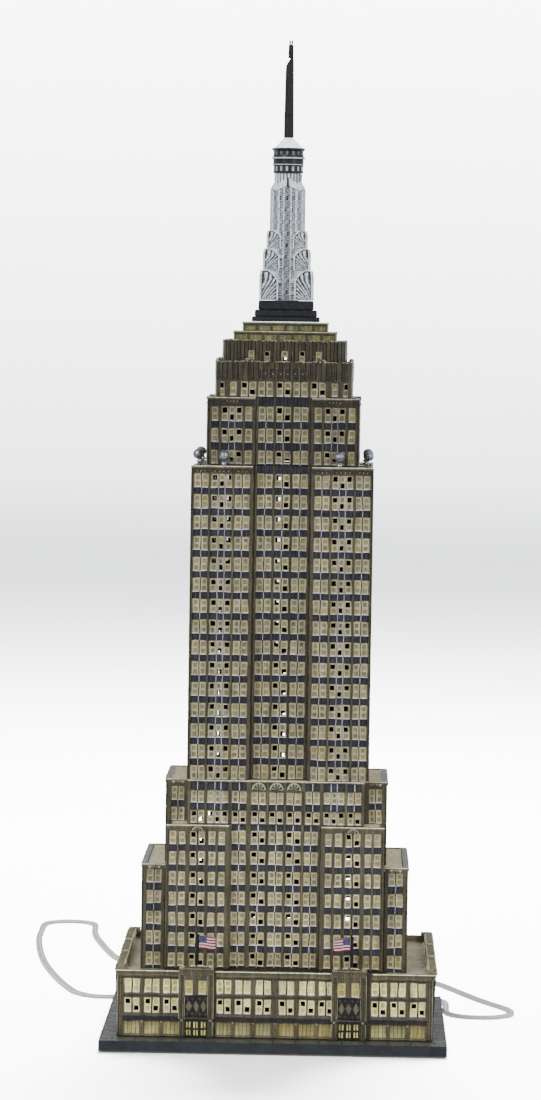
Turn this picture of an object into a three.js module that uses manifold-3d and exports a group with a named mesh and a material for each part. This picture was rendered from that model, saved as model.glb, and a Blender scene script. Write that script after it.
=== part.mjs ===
// Miniature landmark tower: a hollow glazed porcelain skyscraper on a slate plinth, with a clear mast
// that lifts out, two flags that turn in their holders, and a lamp that clips into the rear wall on a
// flat cord. Millimetres, +Z up, front towards -Y, origin under the middle of the plinth.

import * as THREE from 'three';
import { mergeVertices } from 'three/addons/utils/BufferGeometryUtils.js';
import Module from 'manifold-3d';

const wasm = await Module();
wasm.setup();

// ---------------------------------------------------------------- driving dimensions

const GAP = 0.3;                 // air left between two pieces that meet
const CUT = 1;                   // how far a cutting tool runs on past the faces it opens
const WALL = 3;                  // thickness of the slip-cast porcelain

const PLINTH = { width: 203, depth: 180, bottom: 1, top: 7, bevel: 1.2 };
const PAD = { radius: 8, inset: 16 };

const TOWER_Y = 3;               // the tower and the podium share this centre line
const PODIUM = { width: 185, depth: 156, roof: 42.3, parapet: 46.5, corner: 8, cornerTop: 48.7 };
const PAVILION = { x: 45.3, width: 20.4, depth: 5, projection: 1.8, top: 48.8 };
const DOORWAY = { width: 10.4, depth: 1.2, top: 18 };

const LOWER_BLOCKS = [           // half width from, to, depth, top
  { from: 0, to: 78.3, depth: 94, top: 105 },
  { from: 0, to: 65.7, depth: 72, top: 154.6 },
  { from: 0, to: 52.3, depth: 98, top: 155.5 },
];
const FRONT_BLOCK = { from: 26.8, to: 64.3, depth: 108, top: 129.4 };
const LEDGE = 8;                 // what the podium's roof leaves under the tower's outer walls

const SHAFT = { width: 104.6, depth: 94, top: 340.9 };
const UPPER = { width: 90.8, depth: 82, top: 381.2 };
const BAY = { width: 33, sideWidth: 29, inset: 1.5 };   // one plane runs up through both shafts
const CROWN_LOWER = { width: 81.5, depth: 73, top: 401.7 };
const CROWN_TIERS = [
  { width: 73.4, depth: 65, top: 414.2 },
  { width: 61.2, depth: 54, top: 420.1 },
  { width: 50.7, depth: 44, top: 425.5 },
];
const ROOF_OPENING = { lower: 60, shaft: 50, upper: 44, crownLower: 38, crownUpper: 22 };

const PEDESTAL_STEPS = [
  { width: 40.2, top: 428.8 },
  { width: 36.9, top: 432.8 },
  { width: 32.7, top: 438.4 },
];
const SPIGOT = { radius: 7, length: 9 };
const MAST_TIERS = [
  { width: 31.8, top: 456.5 },
  { width: 28, top: 469.1 },
  { width: 24, top: 479.9 },
];
const MAST_CHANNEL = { width: 7.4, reach: 9 };   // up the middle of each side, between the corner wings
const MAST_CORE = { radius: 10.35, shoulder: 504.5, neckRadius: 8.1, neck: 508.7, top: 513.8 };
const LANTERN = { drum: 9, flange: 10.2, bottom: 514.1, top: 529.1, rise: 8, slope: 1, rim: 2 };
const CAP = { bottomRadius: 8, topRadius: 3, top: 535.1 };
const ANTENNA = { bottomRadius: 2.8, topRadius: 2.1, top: 582.3 };
const WHIP = { radius: 1.3, top: 590.3 };
const PRONG = { radius: 0.5, spread: 1.3, top: 593.3 };

const LAMP_Z = 25;               // height of the lamp's centre line
const LAMP_HOLE = 12.6;
const HOLDER = {
  radius: 9, flange: 15, flangeThickness: 2.2, front: 58, back: 87, bore: 6.6, boreLength: 14,
};
const SPRING = { thickness: 0.6, width: 7, bowAt: 7, tipAt: 11 };
const BULB = { radius: 10.5, length: 38 };
const BULB_CAP = { radius: 5.9, contact: 3.5, ahead: 5, behind: 11 };
const RELIEF = { radius: 5.2, tip: 2.9, end: 108 };

const FLOODLIGHT = { ball: 3.1, neck: 1.3, foot: 1.9, height: 8.4, lean: 0.32 };
const FLOODLIGHT_X = { left: -34.5, right: 33.5 };   // along the front and rear ledges
const FLOODLIGHT_Y = 22;                             // each way along the side ledges

const FLAG = { y: -66, length: 9.5, height: 7.7, thickness: 0.7, top: 65.8 };
const POLE = { radius: 0.8, bottom: 40, top: 67, finial: 1.2 };
const FLAG_BASE = { radius: 2.6, height: 2.2, ease: 0.7 };

const CORD = 4.4;                // width of the flat cord
const FLOOR_GAP = 0.05;
const CORD_Z = CORD / 2 + FLOOR_GAP;   // centre line of a cord solid that lies on the floor
const COIL = { x: 50, y: 145.3, radius: 25.5, turnsWide: 2, height: 5.2, slack: 0.2 };
const SWITCH = {
  x: -38, y: 216, bottom: 0.3, length: 40, width: 15, height: 12, nose: 3.2, taper: 6,
  wheel: 7.2, wheelThickness: 4, wheelShows: 2.6,
};
const PLUG = {
  x: 22.3, y: 162.5, bottom: 0.3, relief: 13, reliefRear: 2.6, reliefFront: 3.6, length: 22,
  width: 22, height: 11,
};
const BLADE = { spread: 12.7, thickness: 1.5, length: 16, narrow: 6.3, wide: 7.9 };

// ---------------------------------------------------------------- materials

function material(color, roughness, metalness = 0) {
  return new THREE.MeshStandardMaterial({ color, roughness, metalness });
}

const slate = material(0x3a3b3d, 0.55);
const felt = material(0x1d1d1f, 0.95);
const porcelain = material(0x6b6044, 0.28);
const roofPorcelain = material(0x7c776a, 0.35);
const blackMetal = material(0x17171a, 0.4, 0.6);
const silver = material(0xb9b9bd, 0.25, 0.9);
const clearAcrylic = material(0xdfe6ea, 0.06);
const whitePlastic = material(0xe6e3da, 0.45);
const springSteel = material(0x9b9da0, 0.35, 0.9);
const bulbGlass = material(0xf3efe2, 0.1);
const brassMetal = material(0xb0904c, 0.3, 0.9);
const flagPaint = material(0xb9a0a0, 0.5);
const cordVinyl = material(0xd8d6cc, 0.35);

// ---------------------------------------------------------------- shape helpers

const object = new THREE.Group();

function add(name, geometry, finish) {
  const mesh = new THREE.Mesh(geometry, finish);
  mesh.name = name;
  object.add(mesh);
  return mesh;
}

function inOrder(...values) {
  return values.sort((a, b) => a - b);
}

// A box from its lowest to its highest corner.
function boxBetween(low, high) {
  const size = high.map((value, i) => value - low[i]);
  const box = new THREE.BoxGeometry(...size);
  return box.translate(...low.map((value, i) => value + size[i] / 2));
}

// A box of a width and depth standing on the tower's centre line.
function block(width, depth, bottom, top, x = 0) {
  const low = [x - width / 2, TOWER_Y - depth / 2, bottom];
  const high = [x + width / 2, TOWER_Y + depth / 2, top];
  return boxBetween(low, high);
}

// A solid of revolution about +Z; the profile is [radius, height] pairs from the bottom up.
function turned(profile, segments = 16) {
  const points = profile.map(([radius, height]) => new THREE.Vector2(radius, height));
  return new THREE.LatheGeometry(points, segments).rotateX(Math.PI / 2);
}

// The same, lying along +Y: heights in the profile become distances along Y.
function turnedAlongY(profile, segments = 16) {
  return turned(profile, segments).rotateX(-Math.PI / 2);
}

function toSolid(geometry) {
  const plain = geometry.clone();
  plain.deleteAttribute('normal');
  plain.deleteAttribute('uv');
  const merged = mergeVertices(plain, 1e-4);
  return new wasm.Manifold(new wasm.Mesh({
    numProp: 3,
    vertProperties: Float32Array.from(merged.attributes.position.array),
    triVerts: Uint32Array.from(merged.index.array),
  }));
}

function toGeometry(solid) {
  const mesh = solid.getMesh();
  const geometry = new THREE.BufferGeometry();
  geometry.setAttribute('position', new THREE.BufferAttribute(mesh.vertProperties, 3));
  geometry.setIndex(new THREE.BufferAttribute(mesh.triVerts, 1));
  return geometry;
}

function join(geometries) {
  return geometries.map(toSolid).reduce((whole, piece) => whole.add(piece));
}

function carve(solid, geometries) {
  return geometries.map(toSolid).reduce((rest, tool) => rest.subtract(tool), solid);
}

// A hollow casting: boxes joined, less the same boxes drawn in by one wall, open underneath, with a
// square opening through its roof that lets the light rise.
function hollowCasting(boxes, bottom, roofOpening, wall = WALL, extraCuts = []) {
  const skin = join(boxes.map((b) => block(b.width, b.depth, bottom, b.top, b.x)));
  const inside = boxes.map((b) => (
    block(b.width - 2 * wall, b.depth - 2 * wall, bottom - CUT, b.top - WALL, b.x)));
  const top = Math.max(...boxes.map((b) => b.top));
  const shaft = block(roofOpening, roofOpening, bottom, top + CUT);
  return toGeometry(carve(skin, [...inside, shaft, ...extraCuts]));
}

// The middle bay of each side lies in one plane through both shafts, so it cuts deeper into the wider
// one; this is how far behind a shaft's front that plane lies.
const bayPlane = { x: UPPER.width / 2 - BAY.inset, y: UPPER.depth / 2 - BAY.inset };

function bayDepth(shaft) {
  return shaft.depth / 2 - bayPlane.y;
}

function bayRecesses({ width, depth, top }, bottom) {
  const sides = [];
  for (const side of [-1, 1]) {
    const y = inOrder(TOWER_Y + side * bayPlane.y, TOWER_Y + side * (depth / 2 + CUT));
    const x = inOrder(side * bayPlane.x, side * (width / 2 + CUT));
    sides.push(boxBetween([-BAY.width / 2, y[0], bottom - CUT], [BAY.width / 2, y[1], top + CUT]));
    sides.push(boxBetween([x[0], TOWER_Y - BAY.sideWidth / 2, bottom - CUT],
      [x[1], TOWER_Y + BAY.sideWidth / 2, top + CUT]));
  }
  return sides;
}

// ---------------------------------------------------------------- plinth and pads

function makePlinth() {
  const { width, depth, bottom, top, bevel } = PLINTH;
  const outline = new THREE.Shape();
  const x = width / 2 - bevel;
  const y = depth / 2 - bevel;
  outline.moveTo(-x, -y).lineTo(x, -y).lineTo(x, y).lineTo(-x, y).closePath();
  const slab = new THREE.ExtrudeGeometry(outline, {
    depth: top - bottom - 2 * bevel, bevelEnabled: true, bevelThickness: bevel, bevelSize: bevel,
    bevelSegments: 1,
  });
  add('plinth', slab.translate(0, 0, bottom + bevel), slate);

  const places = { front_left: [-1, -1], front_right: [1, -1], rear_left: [-1, 1], rear_right: [1, 1] };
  for (const [place, [sx, sy]] of Object.entries(places)) {
    const pad = turned([[0, 0], [PAD.radius, 0], [PAD.radius, bottom - GAP / 3], [0, bottom - GAP / 3]]);
    const px = sx * (width / 2 - PAD.inset);
    const py = sy * (depth / 2 - PAD.inset);
    add(`base_pad_${place}`, pad.translate(px, py, 0), felt);
  }
}

// ---------------------------------------------------------------- podium

function makePodium() {
  const { width, depth, roof, parapet, corner, cornerTop } = PODIUM;
  const bottom = PLINTH.top + GAP;
  const front = TOWER_Y - depth / 2;
  const back = TOWER_Y + depth / 2;
  const inner = [width - 2 * WALL, depth - 2 * WALL];
  const corners = [];
  for (const sx of [-1, 1]) {
    for (const sy of [-1, 1]) {
      const cx = sx * (width - corner) / 2;
      const cy = TOWER_Y + sy * (depth - corner) / 2;
      corners.push(boxBetween([cx - corner / 2, cy - corner / 2, roof - CUT],
        [cx + corner / 2, cy + corner / 2, cornerTop]));
    }
  }
  const body = carve(toSolid(block(width, depth, bottom, parapet)), [
    block(...inner, roof, parapet + CUT),
    block(...inner, bottom - CUT, roof - WALL),
    block(2 * (LOWER_BLOCKS[0].to - LEDGE), LOWER_BLOCKS[0].depth - 2 * LEDGE, roof - WALL - CUT,
      roof + CUT),
  ]);
  const notches = [-1, 1].map((side) => {
    const x = side * PAVILION.x;
    const half = PAVILION.width / 2 + GAP;
    return boxBetween([x - half, front - CUT, bottom - CUT],
      [x + half, front + WALL + GAP, parapet + CUT]);
  });
  const poleHoles = [-1, 1].map((side) => (
    turned([[0, roof - WALL - CUT], [POLE.radius + GAP, roof - WALL - CUT],
      [POLE.radius + GAP, roof + CUT], [0, roof + CUT]], 12)
      .translate(side * PAVILION.x, FLAG.y, 0)));
  const lampHole = turnedAlongY([[0, back - WALL - CUT], [LAMP_HOLE, back - WALL - CUT],
    [LAMP_HOLE, back + CUT], [0, back + CUT]], 24).translate(0, 0, LAMP_Z);
  const whole = corners.map(toSolid).reduce((all, post) => all.add(post), body);
  add('podium_shell', toGeometry(carve(whole, [...notches, ...poleHoles, lampHole])), porcelain);

  for (const [name, side] of [['left', -1], ['right', 1]]) {
    const x = side * PAVILION.x;
    const low = [x - PAVILION.width / 2, front - PAVILION.projection, bottom];
    const high = [x + PAVILION.width / 2, low[1] + PAVILION.depth - GAP, PAVILION.top];
    const doorway = boxBetween([x - DOORWAY.width / 2, low[1] - CUT, bottom - CUT],
      [x + DOORWAY.width / 2, low[1] + DOORWAY.depth, DOORWAY.top]);
    const pavilion = toGeometry(carve(toSolid(boxBetween(low, high)), [doorway]));
    add(`entrance_pavilion_${name}`, pavilion, porcelain);
  }
}

// ---------------------------------------------------------------- tower castings

function makeTower() {
  const lowerBottom = PODIUM.roof + GAP;
  const sideBlocks = [-1, 1].map((side) => ({
    width: FRONT_BLOCK.to - FRONT_BLOCK.from, depth: FRONT_BLOCK.depth, top: FRONT_BLOCK.top,
    x: side * (FRONT_BLOCK.from + FRONT_BLOCK.to) / 2,
  }));
  const blocks = LOWER_BLOCKS.map(({ to, depth, top }) => ({ width: 2 * to, depth, top, x: 0 }));
  add('lower_tower_shell', hollowCasting([...blocks, ...sideBlocks], lowerBottom, ROOF_OPENING.lower),
    porcelain);

  const shaftBottom = LOWER_BLOCKS[2].top + GAP;
  add('tower_shaft_shell', hollowCasting([{ ...SHAFT, x: 0 }], shaftBottom, ROOF_OPENING.shaft,
    WALL + bayDepth(SHAFT), bayRecesses(SHAFT, shaftBottom)), porcelain);

  const upperBottom = SHAFT.top + GAP;
  add('upper_shaft_shell', hollowCasting([{ ...UPPER, x: 0 }], upperBottom, ROOF_OPENING.upper,
    WALL + bayDepth(UPPER), bayRecesses(UPPER, upperBottom)), porcelain);

  const crownBottom = UPPER.top + GAP;
  add('crown_lower_shell', hollowCasting([{ ...CROWN_LOWER, x: 0 }], crownBottom,
    ROOF_OPENING.crownLower), porcelain);
  const tiers = CROWN_TIERS.map((tier) => ({ ...tier, x: 0 }));
  add('crown_upper_shell', hollowCasting(tiers, CROWN_LOWER.top + GAP, ROOF_OPENING.crownUpper),
    roofPorcelain);
}

// ---------------------------------------------------------------- mast

function makeMast() {
  const crownTop = CROWN_TIERS[2].top + GAP;
  const steps = PEDESTAL_STEPS.map(({ width, top }) => block(width, width, crownTop, top));
  const pedestalTop = PEDESTAL_STEPS[2].top;
  const socket = turned([[0, crownTop - CUT], [SPIGOT.radius + GAP, crownTop - CUT],
    [SPIGOT.radius + GAP, pedestalTop + CUT], [0, pedestalTop + CUT]], 24).translate(0, TOWER_Y, 0);
  add('mast_pedestal', toGeometry(carve(join(steps), [socket])), blackMetal);

  const bottom = pedestalTop + GAP;
  const core = turned([[0, bottom - SPIGOT.length], [SPIGOT.radius, bottom - SPIGOT.length],
    [SPIGOT.radius, bottom], [MAST_CORE.radius, bottom], [MAST_CORE.radius, MAST_CORE.shoulder],
    [MAST_CORE.neckRadius, MAST_CORE.neck], [MAST_CORE.neckRadius, MAST_CORE.top],
    [0, MAST_CORE.top]], 24).translate(0, TOWER_Y, 0);
  const tiers = join(MAST_TIERS.map(({ width, top }) => block(width, width, bottom, top)));
  const outside = MAST_TIERS[0].width / 2 + CUT;
  const channelTop = MAST_TIERS[2].top + CUT;
  const half = MAST_CHANNEL.width / 2;
  const channels = [-1, 1].flatMap((side) => {
    const [near, far] = inOrder(side * MAST_CHANNEL.reach, side * outside);
    return [
      boxBetween([-half, TOWER_Y + near, bottom - CUT], [half, TOWER_Y + far, channelTop]),
      boxBetween([near, TOWER_Y - half, bottom - CUT], [far, TOWER_Y + half, channelTop]),
    ];
  });
  add('mast_body', toGeometry(carve(tiers, channels).add(toSolid(core))), clearAcrylic);

  const { drum, flange, bottom: low, top, rise, slope, rim } = LANTERN;
  const rimLow = low + rise + slope;
  add('lantern', turned([[0, low], [drum, low], [drum, low + rise], [flange, rimLow],
    [flange, rimLow + rim], [drum, rimLow + rim + slope], [drum, top], [0, top]], 24)
    .translate(0, TOWER_Y, 0), blackMetal);
  add('lantern_cap', turned([[0, top + GAP], [CAP.bottomRadius, top + GAP], [CAP.topRadius, CAP.top],
    [0, CAP.top]], 24).translate(0, TOWER_Y, 0), clearAcrylic);
  add('antenna', turned([[0, CAP.top + GAP], [ANTENNA.bottomRadius, CAP.top + GAP],
    [ANTENNA.topRadius, ANTENNA.top], [0, ANTENNA.top]], 12).translate(0, TOWER_Y, 0), blackMetal);
  add('antenna_whip', turned([[0, ANTENNA.top + GAP], [WHIP.radius, ANTENNA.top + GAP],
    [WHIP.radius, WHIP.top], [0, WHIP.top]], 12).translate(0, TOWER_Y, 0), blackMetal);
  for (const [name, side, finish] of [['left', -1, silver], ['right', 1, blackMetal]]) {
    add(`antenna_prong_${name}`, turned([[0, WHIP.top + GAP], [PRONG.radius, WHIP.top + GAP],
      [PRONG.radius, PRONG.top], [0, PRONG.top]], 8)
      .translate(side * PRONG.spread / 2, TOWER_Y, 0), finish);
  }
}

// ---------------------------------------------------------------- floodlights on the shaft's ledge

function makeFloodlights() {
  const { ball, neck, foot, height, lean } = FLOODLIGHT;
  const profile = [[0, 0], [foot, 0], [foot, 0.8], [neck, 1.6], [neck + 0.3, 3.2]];
  for (const angle of [-40, -10, 20, 50]) {
    const radians = THREE.MathUtils.degToRad(angle);
    profile.push([ball * Math.cos(radians), height - ball + ball * Math.sin(radians)]);
  }
  profile.push([0, height]);
  const ledgeX = (SHAFT.width + UPPER.width) / 4;
  const ledgeY = (SHAFT.depth + UPPER.depth) / 4;
  const { left, right } = FLOODLIGHT_X;
  const places = [
    ['front_left', left, -ledgeY, 0], ['front_right', right, -ledgeY, 0],
    ['rear_left', left, ledgeY, Math.PI], ['rear_right', right, ledgeY, Math.PI],
    ['left_front', -ledgeX, -FLOODLIGHT_Y, -Math.PI / 2],
    ['left_rear', -ledgeX, FLOODLIGHT_Y, -Math.PI / 2],
    ['right_front', ledgeX, -FLOODLIGHT_Y, Math.PI / 2],
    ['right_rear', ledgeX, FLOODLIGHT_Y, Math.PI / 2],
  ];
  for (const [name, x, y, turn] of places) {
    const lamp = add(`floodlight_${name}`, turned(profile, 12), silver);
    lamp.rotation.set(lean, 0, turn, 'ZYX');
    lamp.position.set(x, TOWER_Y + y, SHAFT.top + GAP + Math.sin(lean) * foot);
  }
}

// ---------------------------------------------------------------- flags

function makeFlags() {
  for (const [name, side] of [['left', -1], ['right', 1]]) {
    const x = side * PAVILION.x;
    const away = -side;
    const { radius, height, ease } = FLAG_BASE;
    const baseBottom = PODIUM.roof + GAP;
    const baseTop = baseBottom + height;
    const bore = POLE.radius + GAP;
    add(`flag_base_${name}`, turned([[bore, baseBottom], [radius, baseBottom],
      [radius, baseTop - ease], [radius - ease, baseTop], [bore, baseTop], [bore, baseBottom]], 12)
      .translate(x, FLAG.y, 0), blackMetal);
    const finial = POLE.top - POLE.finial;
    add(`flag_pole_${name}`, turned([[0, POLE.bottom], [POLE.radius, POLE.bottom],
      [POLE.radius, finial], [POLE.radius * 1.3, finial + POLE.finial / 3],
      [POLE.radius, finial + POLE.finial * 5 / 6], [0, POLE.top]], 10)
      .translate(x, FLAG.y, 0), blackMetal);
    const near = x + away * (POLE.radius + GAP);
    const far = near + away * FLAG.length;
    add(`flag_${name}`, boxBetween(
      [Math.min(near, far), FLAG.y - FLAG.thickness / 2, FLAG.top - FLAG.height],
      [Math.max(near, far), FLAG.y + FLAG.thickness / 2, FLAG.top]), flagPaint);
  }
}

// ---------------------------------------------------------------- rear lamp

function makeLamp() {
  const wall = TOWER_Y + PODIUM.depth / 2;
  const { radius, flange, flangeThickness, front, back, bore, boreLength } = HOLDER;
  const boreEnd = front + boreLength;
  const flangeBack = wall + GAP + flangeThickness;
  add('lamp_holder', turnedAlongY([[0, boreEnd], [bore, boreEnd], [bore, front], [radius, front],
    [radius, wall + GAP], [flange, wall + GAP], [flange, flangeBack],
    [radius, flangeBack + flangeThickness / 2], [radius - 1, back], [0, back]], 24)
    .translate(0, 0, LAMP_Z), whitePlastic);

  // Two spring leaves, bowed out behind the wall, that hold the lamp in its hole.
  for (const [name, side] of [['left', -1], ['right', 1]]) {
    const leaf = new THREE.Shape();
    const root = side * (radius + GAP);
    const bow = side * (LAMP_HOLE - 2 * GAP);
    const thick = side * SPRING.thickness;
    leaf.moveTo(root, front + 1).lineTo(root, wall - 1).lineTo(root + thick, wall - 1);
    leaf.lineTo(bow, wall - SPRING.bowAt).lineTo(bow - thick, wall - SPRING.tipAt);
    leaf.lineTo(root + thick, front + 1).closePath();
    const strip = new THREE.ExtrudeGeometry(leaf, { depth: SPRING.width, bevelEnabled: false });
    add(`holder_spring_${name}`, strip.translate(0, 0, LAMP_Z - SPRING.width / 2), springSteel);
  }

  const capFront = front - BULB_CAP.ahead;
  add('bulb_cap', turnedAlongY([[0, capFront], [BULB_CAP.radius - GAP, capFront],
    [BULB_CAP.radius, front - 1], [BULB_CAP.radius, front + BULB_CAP.behind],
    [BULB_CAP.contact, boreEnd - GAP], [0, boreEnd - GAP]], 16).translate(0, 0, LAMP_Z), brassMetal);
  const glassBack = capFront - GAP;
  const tip = glassBack - BULB.length;
  add('bulb_glass', turnedAlongY([[0, tip], [2.2, tip + 1.5], [5.4, tip + 7], [8.6, tip + 14],
    [BULB.radius, tip + 22], [BULB.radius - 0.8, tip + 28], [7, tip + 34], [5.2, glassBack],
    [0, glassBack]], 16).translate(0, 0, LAMP_Z), bulbGlass);

  add('strain_relief', turnedAlongY([[0, back + GAP], [RELIEF.radius, back + GAP],
    [RELIEF.radius - GAP, back + 4], [RELIEF.tip + GAP, RELIEF.end - 2], [RELIEF.tip, RELIEF.end],
    [0, RELIEF.end]], 12).translate(0, 0, LAMP_Z), whitePlastic);
}

// ---------------------------------------------------------------- cord, switch, coil and plug

// From the strain relief down to the floor, round a loop that shows on the left, to the switch.
const LEAD_ROUTE = [
  [0, 108.3, 25], [0, 116, 24.6], [0, 126, 21.4], [0, 138, 13], [0, 150, 5.4], [0, 162],
  [-2, 174], [-9, 184.5], [-20, 190], [-33, 189], [-46, 180], [-60, 160], [-74, 136], [-86, 116],
  [-100, 103], [-115, 102.5], [-126.5, 114], [-134, 135], [-141.5, 163], [-151, 206], [-158.5, 250],
  [-164.5, 300], [-168, 345], [-168.6, 375], [-168.6, 402], [-166.2, 410.9], [-159.7, 417.4],
  [-150.8, 419.8], [-141.9, 417.4], [-135.4, 410.9], [-133, 402], [-131.8, 375], [-128.2, 345],
  [-123.4, 319], [-117.6, 290], [-109, 256], [-98, 234], [-84, 220.5, 2.6], [-70, 216.6, 4.6],
  [-58.3, 216, 6.3],
];

// From the switch behind the podium, round a loop that shows on the right, to the coil.
const RUN_ROUTE = [
  [-17.7, 216, 6.3], [-6, 216, 4.8], [6, 218, 2.6], [25, 224], [52, 222], [76, 208], [91, 191],
  [101, 175], [109, 157], [118, 134], [128, 110], [138, 90], [143, 79], [144.5, 67.5], [142, 58],
  [135, 51], [125, 48.5], [113.9, 51], [106.9, 58], [104.5, 68], [104.5, 98.6], [101.9, 108.1],
  [94.9, 115.1], [85.4, 117.6], [67.6, 117.6],
];

function cordTube(route, steps) {
  const points = route.map(([x, y, z = CORD_Z]) => new THREE.Vector3(x, y, z));
  const path = new THREE.CatmullRomCurve3(points, false, 'centripetal');
  const section = new THREE.Shape();
  for (let i = 0; i < 8; i += 1) {
    const angle = (i + 0.5) * Math.PI / 4;
    const point = [CORD / 2 * Math.cos(angle), CORD / 2 * Math.sin(angle)];
    if (i === 0) section.moveTo(...point);
    else section.lineTo(...point);
  }
  section.closePath();
  return new THREE.ExtrudeGeometry(section, { steps, extrudePath: path, bevelEnabled: false });
}

function makeCord() {
  add('cord_lead', cordTube(LEAD_ROUTE, 52), cordVinyl);
  add('cord_run', cordTube(RUN_ROUTE, 28), cordVinyl);

  const reach = COIL.turnsWide * CORD / 2 + COIL.slack;
  const inner = COIL.radius - reach;
  const outer = COIL.radius + reach;
  const high = FLOOR_GAP + COIL.height;
  add('cord_coil', turned([[inner, FLOOR_GAP], [outer, FLOOR_GAP], [outer, high], [inner, high],
    [inner, FLOOR_GAP]], 32).translate(COIL.x, COIL.y, 0), cordVinyl);
}

function makeSwitch() {
  const { x, y, bottom, length, width, height, nose, taper, wheel, wheelThickness } = SWITCH;
  const outline = new THREE.Shape();
  const end = length / 2;
  const half = width / 2;
  outline.moveTo(-end, -nose).lineTo(-end + taper, -half).lineTo(end - taper, -half);
  outline.lineTo(end, -nose).lineTo(end, nose).lineTo(end - taper, half);
  outline.lineTo(-end + taper, half).lineTo(-end, nose).closePath();
  const wheelY = -half + wheel - SWITCH.wheelShows;
  const middle = bottom + height / 2;
  const disc = (radius, reach) => (
    turned([[0, -reach], [radius, -reach], [radius, reach], [0, reach]], 24)
      .translate(x, y + wheelY, middle));
  const slot = disc(wheel + GAP, wheelThickness / 2 + GAP);
  for (const [name, low] of [['switch_base', bottom], ['switch_cover', middle + GAP / 2]]) {
    const depth = height / 2 - GAP / 2;
    const shell = new THREE.ExtrudeGeometry(outline, { depth, bevelEnabled: false });
    add(name, toGeometry(carve(toSolid(shell.translate(x, y, low)), [slot])), whitePlastic);
  }
  add('switch_wheel', disc(wheel, wheelThickness / 2), whitePlastic);
}

function makePlug() {
  const { x, y, bottom, relief, reliefRear, reliefFront, length, width, height } = PLUG;
  const front = relief + length;
  const side = [[reliefRear, 0], [reliefFront, relief], [width / 2 - 2, relief + 4],
    [width / 2, relief + 9], [width / 2, front]];
  const outline = new THREE.Shape();
  outline.moveTo(-reliefRear, 0);
  for (const [px, py] of side) outline.lineTo(px, py);
  for (const [px, py] of side.slice(1).reverse()) outline.lineTo(-px, py);
  outline.closePath();
  const shell = new THREE.ExtrudeGeometry(outline, { depth: height, bevelEnabled: false });
  add('plug_body', shell.translate(x, y, bottom), whitePlastic);

  const middle = bottom + height / 2;
  const reach = BLADE.thickness / 2;
  for (const [name, hand, tall] of [['left', -1, BLADE.narrow], ['right', 1, BLADE.wide]]) {
    const bx = x + hand * BLADE.spread / 2;
    add(`plug_blade_${name}`, boxBetween([bx - reach, y + front + GAP, middle - tall / 2],
      [bx + reach, y + front + BLADE.length, middle + tall / 2]), brassMetal);
  }
}

makePlinth();
makePodium();
makeTower();
makeMast();
makeFloodlights();
makeFlags();
makeLamp();
makeCord();
makeSwitch();
makePlug();

export default object;
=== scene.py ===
import math
import random

import bpy
import numpy as np
from mathutils import Matrix, Vector


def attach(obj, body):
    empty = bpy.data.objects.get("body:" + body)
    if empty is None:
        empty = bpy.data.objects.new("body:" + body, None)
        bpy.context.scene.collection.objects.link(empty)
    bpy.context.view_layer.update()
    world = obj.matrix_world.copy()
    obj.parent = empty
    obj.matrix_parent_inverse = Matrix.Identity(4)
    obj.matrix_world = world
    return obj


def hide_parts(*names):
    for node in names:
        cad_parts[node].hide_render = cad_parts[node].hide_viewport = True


# A lit porcelain model of a skyscraper: hand-painted castings on a slate plinth, a clear mast,
# eight floodlights, two flags and a rear lamp on a flat cord. Numbers are in millimetres.

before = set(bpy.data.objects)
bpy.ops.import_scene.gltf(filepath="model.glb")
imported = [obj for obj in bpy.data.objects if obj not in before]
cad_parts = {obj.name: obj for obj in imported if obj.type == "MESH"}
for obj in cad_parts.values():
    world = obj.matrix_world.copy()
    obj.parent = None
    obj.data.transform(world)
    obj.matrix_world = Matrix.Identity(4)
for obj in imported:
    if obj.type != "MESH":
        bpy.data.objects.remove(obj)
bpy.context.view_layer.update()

MM = 0.001
CENTRE_Y = 3.0              # the tower and podium share this centre line
WALL = 3.0


# ---------------------------------------------------------------- colours

LIGHT = 1.25                # how brightly the studio lights an upright white surface
BUMP_METRES = 0.0003        # how deep the finest unevenness of a finish is


def linear(red, green, blue):
    """The reflectance that the studio light and view transform show as this colour, 0 to 255."""
    shown = np.clip(np.array([red, green, blue]) / 255, 0.0, 0.93)
    return np.minimum(0.215 * (shown / (1 - shown)) ** 1.2 / LIGHT, 0.9)


PIER = linear(93, 86, 63)
PIER_DARK = linear(60, 55, 40)
PIER_LIGHT = linear(124, 116, 87)
FRAME_PAINT = linear(186, 181, 156)
SILL_HIGHLIGHT = linear(204, 200, 198)
PANES = [linear(166, 164, 122), linear(176, 171, 112), linear(158, 162, 124), linear(168, 160, 138),
         linear(146, 147, 116)]
GAP_SHADE = linear(54, 49, 37)
SPANDREL = linear(50, 50, 64)
SPANDREL_LOWER = linear(58, 60, 67)
SPANDREL_RIB = linear(38, 38, 46)
MULLION = linear(212, 222, 236)
# Painted highlight: the light cream laid along top edges, rims and corners where the glaze would
# catch the light.
EDGE_HIGHLIGHT = linear(208, 204, 188)
ROOF = linear(196, 191, 172)
TERRACE = linear(176, 172, 152)
BELT = linear(32, 30, 34)
BLACK = linear(22, 22, 24)
SHOPS = [linear(168, 163, 118), linear(174, 169, 124), linear(160, 152, 96), linear(158, 154, 110)]
DOOR_PANE = linear(204, 200, 146)
CREAM = linear(206, 202, 170)
BUTTER = linear(190, 184, 130)
LATTICE_PANE = linear(112, 108, 84)
DOT = linear(190, 186, 176)
INSIDE = linear(138, 131, 108)


# How light each part of the model is painted, from the crown down.
TONES = {"crown": 0.68, "upper": 0.55, "shaft": 0.85, "middle": 1.1, "high": 1.0, "wing": 1.02,
         "attic": 0.95, "return": 0.95, "block": 1.05, "lower": 1.16, "podium": 1.2,
         "pavilion": 1.12}


# ---------------------------------------------------------------- shader helpers

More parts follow.
